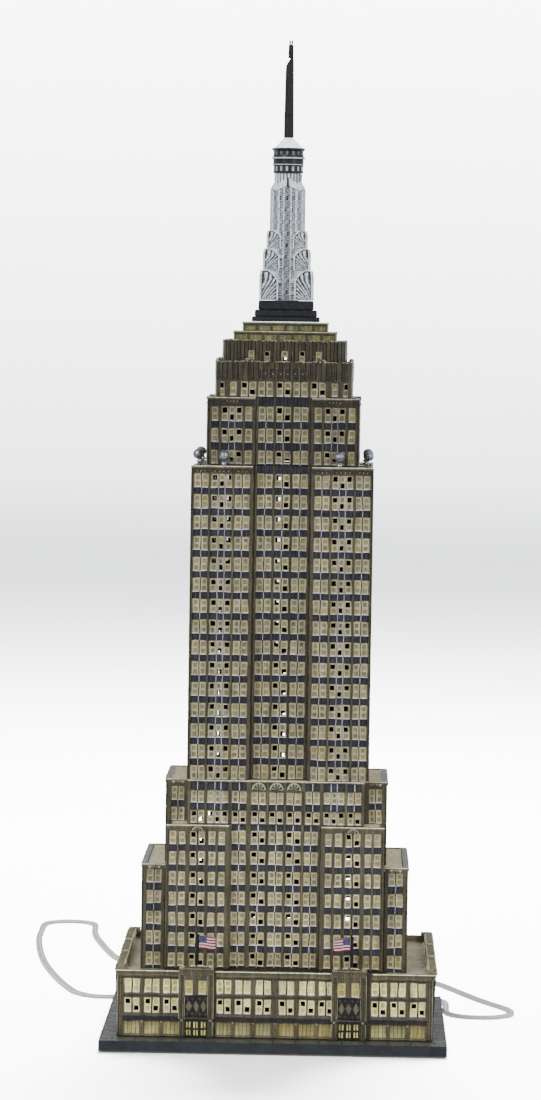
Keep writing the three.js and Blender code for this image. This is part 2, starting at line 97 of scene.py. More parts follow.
def node(tree, kind, inputs=None, **settings):
    """A shader node; an input is a number, a colour or another node's output."""
    made = tree.nodes.new(kind)
    for name, value in settings.items():
        setattr(made, name, value)
    for name, value in (inputs or {}).items():
        if isinstance(value, bpy.types.NodeSocket):
            tree.links.new(value, made.inputs[name])
        else:
            made.inputs[name].default_value = value
    return made


def ramp(tree, value, *stops):
    """A colour ramp; each stop is a position and a grey level or a colour."""
    made = node(tree, "ShaderNodeValToRGB", {"Fac": value})
    while len(made.color_ramp.elements) < len(stops):
        made.color_ramp.elements.new(0.5)
    for element, (position, tone) in zip(made.color_ramp.elements, stops):
        element.position = position
        rgb = [tone] * 3 if isinstance(tone, (int, float)) else list(tone)
        element.color = (*rgb, 1)
    return made.outputs["Color"]


def mix(tree, fac, a, b, blend="MIX"):
    """Two colours mixed; each of the three values is a number, a colour or an output."""
    made = node(tree, "ShaderNodeMix", data_type="RGBA", blend_type=blend)
    for socket, value in ((made.inputs[0], fac), (made.inputs[6], a), (made.inputs[7], b)):
        if isinstance(value, bpy.types.NodeSocket):
            tree.links.new(value, socket)
        elif socket.type == "RGBA":
            socket.default_value = (*value, 1)
        else:
            socket.default_value = value
    return made.outputs[2]


def noise(tree, stretch, scale, detail=4.0):
    """Noise over the object's own metres, stretched by a factor along each axis."""
    place = node(tree, "ShaderNodeTexCoord").outputs["Object"]
    place = node(tree, "ShaderNodeMapping", {"Vector": place, "Scale": stretch}).outputs["Vector"]
    made = node(tree, "ShaderNodeTexNoise", {"Vector": place, "Scale": scale, "Detail": detail})
    return made.outputs["Fac"]


def finish(name, base, roughness, bump=0.0, bump_scale=900.0, stretch=(1, 1, 1), **fixed):
    """A principled material; base and roughness are functions of the node tree, or numbers."""
    material = bpy.data.materials.new(name)
    material.use_nodes = True
    tree = material.node_tree
    shader = tree.nodes["Principled BSDF"]
    for socket, value in (("Base Color", base), ("Roughness", roughness)):
        made = value(tree) if callable(value) else value
        if isinstance(made, bpy.types.NodeSocket):
            tree.links.new(made, shader.inputs[socket])
        else:
            shader.inputs[socket].default_value = made
    if bump:
        height = noise(tree, stretch, bump_scale, 3.0)
        made = node(tree, "ShaderNodeBump",
                    {"Height": height, "Strength": bump, "Distance": BUMP_METRES})
        tree.links.new(made.outputs["Normal"], shader.inputs["Normal"])
    for key, value in fixed.items():
        shader.inputs[key.replace("_", " ")].default_value = value
    return material


def mottled(light, dark, scale, stretch=(1, 1, 1)):
    """A colour that wanders between two tones over the surface."""
    return lambda tree: ramp(tree, noise(tree, stretch, scale), (0.35, dark), (0.65, light))


def painted(spread, scale):
    """The piece's own paint, with a little mottling."""
    def base(tree):
        paint = node(tree, "ShaderNodeAttribute", attribute_name="paint").outputs["Color"]
        cloud = ramp(tree, noise(tree, (1, 1, 1), scale, 5), (0.3, spread[0]), (0.7, spread[1]))
        return mix(tree, 1.0, paint, cloud, "MULTIPLY")
    return base


def glazed_paint(tree):
    """The painted colour of each part, streaked and pooled as a brushed glaze."""
    paint = node(tree, "ShaderNodeAttribute", attribute_name="paint").outputs["Color"]
    streak = ramp(tree, noise(tree, (1, 1, 0.18), 420), (0.3, 0.62), (0.7, 1.25))
    cloud = ramp(tree, noise(tree, (1, 1, 0.6), 70), (0.3, 0.86), (0.7, 1.12))
    dry = ramp(tree, noise(tree, (1.3, 1.3, 0.09), 760, 5), (0.6, 0.0), (0.74, 0.32))
    toned = mix(tree, 1.0, mix(tree, 1.0, paint, streak, "MULTIPLY"), cloud, "MULTIPLY")
    return mix(tree, dry, toned, tuple(linear(124, 118, 92)))


def glow(material, strength):
    """Adds a faint light in the material's own colour."""
    shader = material.node_tree.nodes["Principled BSDF"]
    own = shader.inputs["Base Color"].links[0].from_socket
    material.node_tree.links.new(own, shader.inputs["Emission Color"])
    shader.inputs["Emission Strength"].default_value = strength


def gloss(rough, smooth, scale):
    """Roughness that wanders between two levels."""
    return mottled((rough,) * 3, (smooth,) * 3, scale)


PORCELAIN = finish("glazed_porcelain", glazed_paint,
                   gloss(0.42, 0.2, 300), 0.35, 700, (1, 1, 0.5),
                   Coat_Weight=0.25, Coat_Roughness=0.15, Specular_IOR_Level=0.35)
ROOF_GLAZE = finish("dull_roof_glaze", glazed_paint, gloss(0.75, 0.55, 300),
                    0.35, 500, Specular_IOR_Level=0.12)
SLATE = finish("painted_slate", painted((0.7, 1.3), 160), gloss(0.6, 0.38, 260),
               0.3, 500)
FELT = finish("felt", mottled(linear(44, 44, 46), linear(24, 24, 26), 2400), 0.95, 0.8, 3200)
BLACK_METAL = finish("black_lacquer", mottled(linear(34, 36, 40), linear(20, 21, 24), 500),
                     gloss(0.55, 0.4, 400), Specular_IOR_Level=0.25)
PAINTED_METAL = finish("painted_lantern", painted((0.75, 1.2), 900),
                       gloss(0.4, 0.25, 700), 0.1, 900, Specular_IOR_Level=0.3)
SILVER = finish("silver_paint", mottled(linear(178, 180, 186), linear(120, 122, 130), 600),
                gloss(0.42, 0.26, 500), 0.15, 1200, Metallic=0.85)
ACRYLIC = finish("clear_acrylic", painted((0.55, 1.3), 1100), gloss(0.16, 0.04, 300),
                 0.15, 900, (1, 1, 0.3), Transmission_Weight=0.22, IOR=1.49)
glow(ACRYLIC, 0.22)         # painted light: the mast glows faintly in its own paint, for the bright background it stands against and passes on
# The clear cone glows white as painted light, for the bright background seen through it.
CLEAR_CONE = finish("clear_cone", mottled((0.96, 0.98, 1.0), (0.86, 0.89, 0.93), 400),
                    gloss(0.12, 0.05, 300), 0.05, 700, Transmission_Weight=0.5,
                    IOR=1.3, Emission_Color=(0.95, 0.98, 1.0, 1), Emission_Strength=0.6)
WHITE_PLASTIC = finish("white_plastic", mottled(linear(232, 229, 220), linear(214, 210, 198), 90),
                       gloss(0.5, 0.36, 300), 0.12, 1800)
SPRING_STEEL = finish("spring_steel", mottled(linear(168, 170, 174), linear(120, 122, 128), 300,
                                              (1, 0.1, 1)), 0.34, 0.1, 900, Metallic=0.95)
BRASS = finish("brass", mottled(linear(190, 158, 88), linear(150, 120, 62), 400),
               gloss(0.4, 0.25, 600), 0.1, 900, Metallic=0.95)
BULB = finish("frosted_bulb", mottled(linear(246, 243, 232), linear(232, 228, 214), 120),
              gloss(0.28, 0.16, 300), 0.05, 900, Transmission_Weight=0.35,
              Coat_Weight=0.3)
FLAG_PAINT = finish("enamelled_flag", painted((0.85, 1.12), 900),
                    gloss(0.5, 0.35, 500), 0.1, 1200)
CORD_VINYL = finish("cord_vinyl", painted((0.9, 1.1), 420), gloss(0.3, 0.18, 400),
                    0.08, 900, Coat_Weight=0.4)


# ---------------------------------------------------------------- mesh helpers

def mesh_object(name, vertices, faces, material, paint=None, smooth=False):
    """An object from vertices in millimetres; paint is one colour per face."""
    mesh = bpy.data.meshes.new(name)
    mesh.from_pydata((np.asarray(vertices, float) * MM).tolist(), [], faces)
    mesh.materials.append(material)
    if paint is not None:
        layer = mesh.color_attributes.new("paint", "FLOAT_COLOR", "CORNER")
        counts = np.array([len(f) for f in faces])
        rgba = np.ones((len(faces), 4), np.float32)
        rgba[:, :3] = paint
        layer.data.foreach_set("color", np.repeat(rgba, counts, axis=0).ravel())
    if smooth:
        mesh.polygons.foreach_set("use_smooth", [True] * len(mesh.polygons))
    made = bpy.data.objects.new(name, mesh)
    bpy.context.scene.collection.objects.link(made)
    return made


def smooth_under(made, degrees):
    """Smooth shading, with an edge left sharp where it turns by more than this."""
    made.data.polygons.foreach_set("use_smooth", [True] * len(made.data.polygons))
    made.data.set_sharp_from_angle(angle=math.radians(degrees))
    return made


def place(made, body, slot, *nodes):
    """The piece rides on a body and stands for CAD nodes, which it hides. The slot is not used."""
    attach(made, body)
    if nodes:
        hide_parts(*nodes)
    return made


def grid_faces(n, m, wrap=False):
    """Quads over a grid of n by m vertices, the second index running fastest."""
    a, b = np.meshgrid(np.arange(n if wrap else n - 1), np.arange(m - 1), indexing="ij")
    a, b = a.ravel(), b.ravel()
    nxt = (a + 1) % n
    return np.stack([a * m + b, nxt * m + b, nxt * m + b + 1, a * m + b + 1], 1)


def tube_faces(rings, n):
    """Quads from each closed ring of n vertices to the next."""
    return [[k * n + j, k * n + (j + 1) % n, (k + 1) * n + (j + 1) % n, (k + 1) * n + j]
            for k in range(rings - 1) for j in range(n)]


def casting(made, *nodes):
    """The piece is one of the building's porcelain castings."""
    return place(made, "building", "porcelain", *nodes)


def front_to_rear(half):
    """From front to rear, that far on each side of the tower's centre line."""
    return CENTRE_Y - half, CENTRE_Y + half


def on_side(side, a, b):
    """The stretch from a to b, or its mirror image when side is -1, lowest end first."""
    return sorted((side * a, side * b))


def eased(value, start, span):
    """Rises from 0 to 1 over the span."""
    return min(1.0, max(0.0, value - start) / span)


def waver(u, v, seed):
    """Smooth unevenness, about -1 to 1, of something cast and carved by hand."""
    return (np.sin(0.37 * u + 0.23 * v + seed) + np.sin(0.21 * u - 0.43 * v + 2.1 * seed)
            + 0.7 * np.sin(0.83 * u + 0.57 * v + 3.3 * seed)) / 2.7


# ---------------------------------------------------------------- carved slabs

class Relief:
    """A slab carved with rectangles laid over each other, each at its own depth and paint.

    u runs along the slab and v up it; depth is zero at its face and negative inwards. A hole
    goes right through. bay is the half width and depth of a recess that takes the back of the
    slab along.
    """

    def __init__(self, u0, u1, v0, v1, colour, thick=WALL, bay=None, seed=1.0, rough=1.0):
        self.frame = (u0, u1, v0, v1)
        self.thick, self.bay, self.seed, self.rough = thick, bay, seed, rough
        self.splits = ([], [])          # lines that let a long edge follow a curve
        self.shells = []
        self.shade = 1.0
        self.items = []
        self.add(u0, u1, v0, v1, 0.0, colour)
        if bay:
            self.add(-bay[0], bay[0], v0, v1, -bay[1], colour)

    def add(self, u0, u1, v0, v1, depth=None, colour=None, hole=False):
        """Lays a rectangle over what is there; without a depth or a colour that stays."""
        a, b, c, d = self.frame
        u0, u1, v0, v1 = max(u0, a), min(u1, b), max(v0, c), min(v1, d)
        if u1 - u0 > 0.08 and v1 - v0 > 0.08:
            self.items.append((u0, u1, v0, v1, depth, colour, hole))

    def rib(self, u, half, *rest):
        """A rectangle centred on an upright line."""
        self.add(u - half, u + half, *rest)

    def belt(self, *rest):
        """A rectangle right along the slab."""
        self.add(*self.frame[:2], *rest)

    @staticmethod
    def _lines(values):
        """The values in order, without those that almost coincide."""
        kept = []
        for value in np.unique(np.round(values, 3)):
            if not kept or value - kept[-1] > 0.07:
                kept.append(float(value))
        kept[-1] = float(max(values))
        return np.array(kept)

    @staticmethod
    def _doubled(lines):
        """Each inner line becomes two, so that a step in depth has a sloping side."""
        gaps = np.diff(lines)
        ease = np.minimum(0.13, 0.3 * np.minimum(gaps[:-1], gaps[1:]))
        out = np.empty(2 * len(gaps))
        out[0::2], out[1::2] = lines[:-1], lines[1:]
        out[2::2] += ease
        out[1:-1:2] -= ease
        return out

    def _cells(self):
        """The grid that the rectangles make: each cell's depth, its paint and if it's open."""
        u = self._lines([x for item in self.items for x in item[:2]] + list(self.splits[0]))
        v = self._lines([x for item in self.items for x in item[2:4]] + list(self.splits[1]))
        depth = np.zeros((len(u) - 1, len(v) - 1))
        paint = np.zeros((*depth.shape, 3))
        hole = np.zeros(depth.shape, bool)
        for u0, u1, v0, v1, d, colour, through in self.items:
            i0, i1 = (int(abs(u - x).argmin()) for x in (u0, u1))
            j0, j1 = (int(abs(v - x).argmin()) for x in (v0, v1))
            if d is not None:
                depth[i0:i1, j0:j1] = d
                hole[i0:i1, j0:j1] = through
            if colour is not None:
                paint[i0:i1, j0:j1] = colour
        return u, v, depth, paint, hole

    def split(self, axis, spacing=9.0):
        """Adds lines across an axis, closer together near its ends, so that it can bend."""
        low, high = self.frame[2 * axis:2 * axis + 2]
        self.splits[axis].extend(np.arange(low + spacing, high - spacing / 2, spacing))
        ends = [e for e in (1.7, 3.6, 5.4, 7.3) if e < (high - low) / 2]
        self.splits[axis].extend([low + e for e in ends] + [high - e for e in ends])
        return self

    @staticmethod
    def _thin(ends, needed, wanted):
        """The needed lines, and the wanted ones that aren't close to them."""
        lines = set(ends) | set(needed)
        lines |= {w for w in wanted if min(abs(w - x) for x in lines) > 0.5}
        return np.array(sorted(lines))

    def _back_depth(self, u):
        deep = np.zeros_like(u)
        if self.bay:
            deep[np.abs(u) < self.bay[0] + self.thick] = self.bay[1]
        return -self.thick - deep

    def build(self, name, origin, along, up, material, shape=None):
        """The slab as one closed object, its face at the origin, bent by shape at the end."""
        u, v, depth, paint, hole = self._cells()
        p, q = self._doubled(u), self._doubled(v)
        n, m = len(p), len(q)
        ci, cj = np.arange(n) // 2, np.arange(m) // 2
        cell = np.ix_(ci, cj)
        grid_u, grid_v = np.meshgrid(p, q, indexing="ij")
        u0, u1, v0, v1 = self.frame
        edge = np.minimum(np.minimum(grid_u - u0, u1 - grid_u),
                          np.minimum(grid_v - v0, v1 - grid_v))
        fade = np.clip(edge / 2.5, 0, 1) * self.rough
        front = np.stack([grid_u + 0.24 * fade * waver(grid_u, grid_v, self.seed),
                          grid_v + 0.26 * fade * waver(grid_v, grid_u, self.seed + 5),
                          depth[cell] + 0.13 * fade * waver(grid_u * 2.1, grid_v * 1.9,
                                                            self.seed + 9)], -1).reshape(-1, 3)

        # Faces of the front, their paint, and the ones that a hole removes.
        quads = grid_faces(n, m)
        a, b = quads[:, 0] // m, quads[:, 0] % m
        corners = [(a // 2, b // 2), ((a + 1) // 2, b // 2), ((a + 1) // 2, (b + 1) // 2),
                   (a // 2, (b + 1) // 2)]
        depths = np.stack([depth[i, j] for i, j in corners], 1)
        tones = np.stack([paint[i, j] for i, j in corners], 1)
        drop = depths.max(1) - depths.min(1)
        # Painted shade: the sloping side of a step is darker, the deeper the step.
        tone = tones.mean(1) * (1 - 0.5 * np.clip(drop, 0, 1))[:, None]
        gone = np.stack([hole[i, j] for i, j in corners], 1).all(1)
        removed = set(zip(a[gone].tolist(), b[gone].tolist()))

        # The back sheet has lines only where holes or the bay need them.
        step = [] if not self.bay else [s * (self.bay[0] + self.thick) + e
                                        for s in (-1, 1) for e in (-0.03, 0.03)]
        used_a = sorted({x for i, _ in removed for x in (i, i + 1)})
        used_b = sorted({x for _, j in removed for x in (j, j + 1)})
        back_u = self._thin({u0, u1}, [p[x] for x in used_a] + step, self.splits[0])
        back_v = self._thin({v0, v1}, [q[x] for x in used_b], self.splits[1])
        to_u = {x: int(abs(back_u - p[x]).argmin()) for x in used_a}
        to_v = {x: int(abs(back_v - q[x]).argmin()) for x in used_b}
        bn, bm = len(back_u), len(back_v)
        bu, bv = np.meshgrid(back_u, back_v, indexing="ij")
        back = np.stack([bu, bv, self._back_depth(bu)], -1).reshape(-1, 3)
        first = len(front)

        def at(k, l):
            return first + k * bm + l

        faces = quads[~gone].tolist()
        colours = list(tone[~gone])
        open_cells = np.zeros((bn - 1, bm - 1), bool)
        for i, j in removed:
            open_cells[to_u[i]:to_u[i + 1], to_v[j]:to_v[j + 1]] = True
        for k in range(bn - 1):
            for l in range(bm - 1):
                if not open_cells[k, l]:
                    faces.append([at(k, l), at(k, l + 1), at(k + 1, l + 1), at(k + 1, l)])
                    colours.append(INSIDE)

        # Tunnels through the slab, their sides painted black as shade inside the hole.
        ring = [(0, 0), (1, 0), (1, 1), (0, 1)]
        beyond = [(0, -1), (1, 0), (0, 1), (-1, 0)]
        for i, j in removed:
            for side in range(4):
                di, dj = beyond[side]
                if (i + di, j + dj) in removed:
                    continue
                (si, sj), (ei, ej) = ring[side], ring[(side + 1) % 4]
                start, end = (i + si, j + sj), (i + ei, j + ej)
                k0, l0, k1, l1 = to_u[start[0]], to_v[start[1]], to_u[end[0]], to_v[end[1]]
                steps = max(abs(k1 - k0), abs(l1 - l0))
                line = [at(k1 + (k0 - k1) * s // steps, l1 + (l0 - l1) * s // steps)
                        for s in range(steps + 1)]
                faces.append([start[0] * m + start[1], end[0] * m + end[1], *line])
                colours.append(BLACK)

        # Rims close the slab.
        rim = tones[0].mean(0) * 0.9
        top, right = m - 1, n - 1
        faces += [
            [i * m for i in range(right, -1, -1)] + [at(k, 0) for k in range(bn)],
            [i * m + top for i in range(n)] + [at(k, bm - 1) for k in range(bn - 1, -1, -1)],
            list(range(m)) + [at(0, l) for l in range(bm - 1, -1, -1)],
            [right * m + j for j in range(top, -1, -1)] + [at(bn - 1, l) for l in range(bm)],
        ]
        colours += [rim] * 4

        points = np.concatenate([front, back])
        along, up = np.array(along, float), np.array(up, float)
        colours = np.array(colours) * TONES.get(name.split("_")[0], 1.0)
        world = (np.array(origin, float) + points[:, :1] * along + points[:, 1:2] * up
                 + points[:, 2:] * np.cross(along, up))
        if shape:
            world = shape(world)
        return mesh_object(name, world, faces, material, colours)


def drafted(half_depth, amount=0.022, shift=0.0):
    """Sides that draw in over the last of the depth, and a casting a little to one side."""
    def shape(world):
        t = np.abs(world[:, 1] - CENTRE_Y) / half_depth
        world[:, 0] *= 1 - amount * np.clip((t - 0.86) / 0.14, 0, 1) ** 2
        world[:, 0] += shift
        return world
    return shape


FACES = {                   # along, sign of the outward direction and the axis it is on
    "front": ((1, 0, 0), -1, 1), "rear": ((-1, 0, 0), 1, 1),
    "left": ((0, -1, 0), -1, 0), "right": ((0, 1, 0), 1, 0),
}


def raise_wall(relief, name, side, reach, shape, offset=(0, 0, 0), node_names=()):
    """Stands a slab on one side of the tower, its face at that distance from the centre."""
    along, sign, axis = FACES[side]
    origin = np.array([0.0, CENTRE_Y, 0.0]) + np.array(offset, float)
    origin[axis] += sign * reach
    if axis == 0:
        relief.split(0)
    if relief.shells:
        shell_ornaments(name.replace("_wall", "_shells"), relief.shells, side, reach, shape, offset)
    return casting(relief.build(name, origin, along, (0, 0, 1), PORCELAIN, shape), *node_names)


LEVEL = ((1, 0, 0), (0, 1, 0))      # a slab that lies flat: along x, and up towards +y


def roof(name, x0, x1, y0, y1, top, shape, colour=ROOF, edge=0.5, sunk=0.3, thick=2.0,
         opening=None):
    """A flat roof with a raised edge painted lighter as a highlight, and a square opening that lets
    light rise.
    """
    slab = Relief(x0, x1, y0, y1, EDGE_HIGHLIGHT, thick, seed=top * 0.1).split(1)
    slab.add(x0 + edge, x1 - edge, y0 + edge, y1 - edge, -sunk, colour)
    if opening:
        half = opening / 2
        slab.add(-half, half, *front_to_rear(half), -sunk, colour, True)
    return casting(slab.build(name, (0, 0, top), *LEVEL, ROOF_GLAZE, shape))


# ---------------------------------------------------------------- façade pieces

random_paint = random.Random(11)
CUT_PAIR, CUT_TRIPLE = ("u", "l"), ("u", "l", "u")      # which pane of each window is pierced
UNCUT = ("", "")


# A window's frame and panes, as parts of its width and height.
FRAME_SIDE, PANE_HIGH = 0.245, 0.26
PANE_TOPS = {"upper": 0.86, "lower": 0.41}


def window(wall, u0, u1, top, height, cut="", base=0.0, tint=None, depth=-0.75, rim=FRAME_PAINT):
    """A two-pane window; cut names the pane, upper or lower, that is pierced."""
    side = max(0.5, FRAME_SIDE * (u1 - u0))
    frame_tone = rim * random_paint.uniform(0.9, 1.1) * wall.shade
    bottom = top - height
    wall.add(u0, u1, bottom, top, base + depth, frame_tone)
    # A strip painted light along the foot of the frame, as a highlight on the sill.
    wall.add(u0, u1, bottom, bottom + 0.08 * height, base + depth + 0.35, SILL_HIGHLIGHT * wall.shade)
    for which, high in PANE_TOPS.items():
        pane = tint if tint is not None else random_paint.choice(PANES)
        pane = pane * random_paint.uniform(0.82, 1.05) * wall.shade
        pierced = which[0] in cut
        grow = 0.3 if pierced else 0.0
        wall.add(u0 + side - grow, u1 - side + grow, bottom + (high - PANE_HIGH) * height - grow,
                 bottom + high * height + grow, base + depth - 0.55, pane, pierced)


def pair(wall, u0, u1, top, height, cuts=UNCUT, gap=0.6, base=0.0, **more):
    """Two windows side by side over a gap painted dark as shade."""
    middle = (u0 + u1) / 2
    wall.add(u0, u1, top - height, top, base - 1.1, GAP_SHADE)
    window(wall, u0, middle - gap / 2, top, height, cuts[0], base, **more)
    window(wall, middle + gap / 2, u1, top, height, cuts[1], base, **more)


def triple(wall, u0, u1, top, height, cuts=CUT_TRIPLE, base=0.0):
    """Two windows with a narrow one between silver mullions."""
    middle, inner, bar = (u0 + u1) / 2, 1.5, 0.7
    # The gap behind the windows is painted dark as shade.
    wall.add(u0, u1, top - height, top, base - 1.1, GAP_SHADE)
    window(wall, u0, middle - inner - bar, top, height, cuts[0], base)
    window(wall, middle - inner, middle + inner, top, height, cuts[1], base)
    window(wall, middle + inner + bar, u1, top, height, cuts[2], base)
    for side in (-1, 1):
        u = middle + side * (inner + bar / 2)
        wall.rib(u, 0.22, top - height, top, base - 0.7, MULLION * 0.6)


def spandrel(wall, u0, u1, low, high, base=0.0, ribs=2, mullions=(), bright=0.6):
    """A dark panel between two rows of windows, ribbed, with light mullion lines."""
    # Panels lower than 160 mm are painted a little greyer.
    tone = SPANDREL_LOWER if high < 160 else SPANDREL
    wall.add(u0, u1, low, high, base - 1.15, tone * random_paint.uniform(0.85, 1.1))
    for k in range(ribs):
        u = u0 + (u1 - u0) * (k + 1) / (ribs + 1)
        wall.rib(u, 0.18, low, high, base - 0.95, SPANDREL_RIB)
    for u in mullions:
        wall.rib(u, 0.2, low - 0.4, high + 0.4, base - 0.7, MULLION * bright)


def fan(wall, u, low, high, half, base=0.0):
    """A place for a sunburst shell; the shells of a wall are made together."""
    wall.add(u - half - 0.3, u + half + 0.3, low - 0.6, high + 0.3, base - 0.15, PIER_DARK)
    wall.shells.append((u, low - 0.4, half, high - low + 0.5, base))


def shell_ornaments(name, shells, side, reach, shape, offset):
    """Half-round shells with raised rays, standing on the wall."""
    along, sign, axis = FACES[side]
    spokes, rings = 30, 5
    points, faces, tones = [], [], []
    for u, foot, half, high, base in shells:
        first = len(points)
        for back in (0, 1):
            for i in range(spokes + 1):
                a = math.pi * i / spokes
                for j in range(rings + 1):
                    r = 0.12 + 0.88 * j / rings
                    ridge = 0.3 * math.cos(a * 9) * r + 0.5 * math.sin(math.pi * min(1, r)) + 0.15
                    depth = base + (-0.5 if back else max(0.05, ridge))
                    place_at = np.array([0.0, CENTRE_Y, foot + high * r * math.sin(a)])
                    place_at[axis] += sign * (reach + depth)
                    points.append(place_at + (u + half * r * math.cos(a)) * np.array(along)
                                  + np.array(offset, float))
        m, sheet = rings + 1, (spokes + 1) * (rings + 1)
        quads = grid_faces(spokes + 1, m) + first
        for f in quads.tolist():
            ray = math.cos(((f[0] - first) // m + 0.5) * math.pi / spokes * 9)
            rim = (f[0] - first) % m == rings - 1
            faces.append(f[::-1])
            # The rim and the crest of each ray are painted light as highlights, the grooves between
            # them dark as shade.
            tones.append(EDGE_HIGHLIGHT * 0.4 if rim else EDGE_HIGHLIGHT * 0.3 if ray > 0.6 else
                         PIER if ray > -0.2 else PIER_DARK)
            faces.append([x + sheet for x in f])
            tones.append(PIER_DARK)
        outline = ([i * m for i in range(spokes + 1)] + [spokes * m + j for j in range(1, m)]
                   + [i * m + rings for i in range(spokes - 1, -1, -1)]
                   + list(range(rings - 1, 0, -1)))
        for a, b in zip(outline, outline[1:] + outline[:1]):
            faces.append([first + a, first + b, first + b + sheet, first + a + sheet])
            tones.append(PIER)
    tones = np.array(tones) * TONES.get(name.split("_")[0], 1.0)
    casting(mesh_object(name, shape(np.array(points)), faces, PORCELAIN, tones))


def dots(wall, u0, u1, v, count, base=0.0, size=0.28):
    """A row of small light studs."""
    for k in range(count):
        u = u0 + (u1 - u0) * (k + 0.5) / count
        wall.rib(u, size, v - size, v + size, base + 0.3, DOT)


def piers(wall, positions, low, high, width=1.1, base=0.0, lift=0.25):
    """Plain ribs that stand a little forward between the windows."""
    for k, u in enumerate(positions):
        tone = (PIER_LIGHT, PIER, PIER_DARK, PIER)[k % 4]
        wall.rib(u, width / 2, low, high, base + lift, tone)


def coping(wall, u0, u1, top, base=0.0, height=0.55):
    """The top edge of a wall, painted bright as a highlight, over a shadowed moulding."""
    wall.add(u0, u1, top - 2 * height - 0.3, top - height, base + 0.15, PIER_LIGHT)
    wall.add(u0, u1, top - height, top, base + 0.45, EDGE_HIGHLIGHT * 1.15)


def columns_between(u0, u1, widths, pitch):
    """Window groups laid out evenly across a wall, as (start, end) pairs."""
    count = max(1, int((u1 - u0 + pitch - widths) // pitch))
    start = (u0 + u1) / 2 - (count - 1) * pitch / 2
    return [(start + k * pitch - widths / 2, start + k * pitch + widths / 2) for k in range(count)]


# ---------------------------------------------------------------- shafts

# Rows of windows, as the height of their tops and how high they are.
SHAFT_ROWS = [(336.2 - 12.31 * k, 8.3) for k in range(15)]
UPPER_ROWS = [(375.9, 8.9), (362.8, 8.3), (349.9, 7.9)]
BAY_PAIRS = [(-14.8, -5.9), (-4.4, 4.4), (5.9, 14.8)]
BAY_FROM_CENTRE = (43.9, 39.5)      # both shafts' middle bays lie in these planes, in x and in y


def storeys(rows, low):
    """Each row of windows, with the height where the next one down or the wall's foot is."""
    return [(*row, below) for row, below in zip(rows, [top for top, _ in rows[1:]] + [low])]


def mullion_lines(kind, a, b):
    """Where the light lines on the panel under a group of windows are."""
    shifts = {"single": (), "pair": (0,), "triple": (-1.85, 1.85)}
    return [(a + b) / 2 + shift for shift in shifts[kind]]


def shaft_front(rows, half, low, top, recess, blocks, singles, seed, pierced):
    """The broad face of a shaft: two blocks and a middle bay set back between them."""
    wall = Relief(-half, half, low, top, PIER, bay=(16.5, recess), seed=seed)
    for k, (row_top, height, below) in enumerate(storeys(rows, low)):
        for side in (-1, 1):
            for kind, u0, u1 in blocks:
                a, b = on_side(side, u0, u1)
                if kind == "triple":
                    triple(wall, a, b, row_top, height, CUT_TRIPLE if pierced else [""] * 3)
                else:
                    {"pair": pair, "single": window}[kind](wall, a, b, row_top, height)
                if below > low:
                    spandrel(wall, a, b, below, row_top - height, 0, 2, mullion_lines(kind, a, b))
        for u0, u1 in BAY_PAIRS:
            cuts = CUT_PAIR if abs(u0 + u1) < 2 and pierced else UNCUT
            pair(wall, u0, u1, row_top, height, cuts, 0.6, -recess)
            spandrel(wall, u0, u1, below, row_top - height, -recess, 3, ((u0 + u1) / 2,), 0.8)
            if k == 0:
                spandrel(wall, u0, u1, row_top, top, -recess, 3, ())
    piers(wall, (-15.6, -5.15, 5.15, 15.6), low, top, 1.0, -recess, 0.2)
    edges = sorted({x for kind, u0, u1 in blocks for x in (u0, u1)})
    between = [(a + b) / 2 for a, b in zip(edges[1:-1:2], edges[2::2])]
    for side in (-1, 1):
        piers(wall, [side * u for u in between], low, rows[0][0], 0.8)
        wall.add(*on_side(side, half - 1.1, half - 0.7), low, top - 2, -0.3, PIER_DARK)
        frieze(wall, side, half, rows[0][0], top, blocks, singles)
    return wall


def frieze(wall, side, half, low, top, blocks, singles):
    """The ornamented band over each block."""
    a, b = on_side(side, 16.9, half)
    wall.add(a, b, low + 0.3, top - 1.2, -0.15, PIER_DARK * 0.9)
    for kind, u0, u1 in blocks:
        c, d = on_side(side, u0, u1)
        if kind == "triple" and singles:
            for k in range(5):
                u = c + (d - c) * (k + 0.5) / 5
                lift = 1.4 * math.sin(math.pi * (k + 0.5) / 5)
                wall.rib(u, 1.1, low + 0.5 + lift, low + 1.1 + lift, 0.3, PIER_LIGHT)
            dots(wall, c + 2, d - 2, low + 2.9, 4, 0.1)
        elif kind != "single":
            dots(wall, c + 0.8, d - 0.8, low + 1.5, 4 if kind == "triple" else 3, 0.1)
            wall.add(c, d, low + 0.3, low + 0.7, 0.2, PIER_LIGHT)
    coping(wall, a, b, top)


def shaft_side(rows, half, low, top, recess, seed):
    """The narrow face: two pairs each side of a middle bay of two pairs."""
    wall = Relief(-half, half, low, top, PIER, bay=(14.5, recess), seed=seed)
    outer = columns_between(17.5, half - 1, 8.4, 10.4)
    for k, (row_top, height, below) in enumerate(storeys(rows, low)):
        for side in (-1, 1):
            for u0, u1 in outer:
                a, b = on_side(side, u0, u1)
                pair(wall, a, b, row_top, height, CUT_PAIR if u0 == outer[0][0] else UNCUT)
                spandrel(wall, a, b, below, row_top - height, 0, 2, ((a + b) / 2,))
        for u0, u1 in ((-12.6, -1.2), (1.2, 12.6)):
            pair(wall, u0, u1, row_top, height, UNCUT, 0.6, -recess)
            spandrel(wall, u0, u1, below, row_top - height, -recess, 3, ((u0 + u1) / 2,), 0.8)
            if k == 0:
                spandrel(wall, u0, u1, row_top, top, -recess, 3, ())
    for side in (-1, 1):
        a, b = on_side(side, 14.9, half)
        wall.add(a, b, rows[0][0] + 0.3, top - 1.2, -0.15, PIER_DARK * 0.9)
        dots(wall, a + 1, b - 1, rows[0][0] + 1.6, 7, 0.1)
        coping(wall, a, b, top)
    return wall


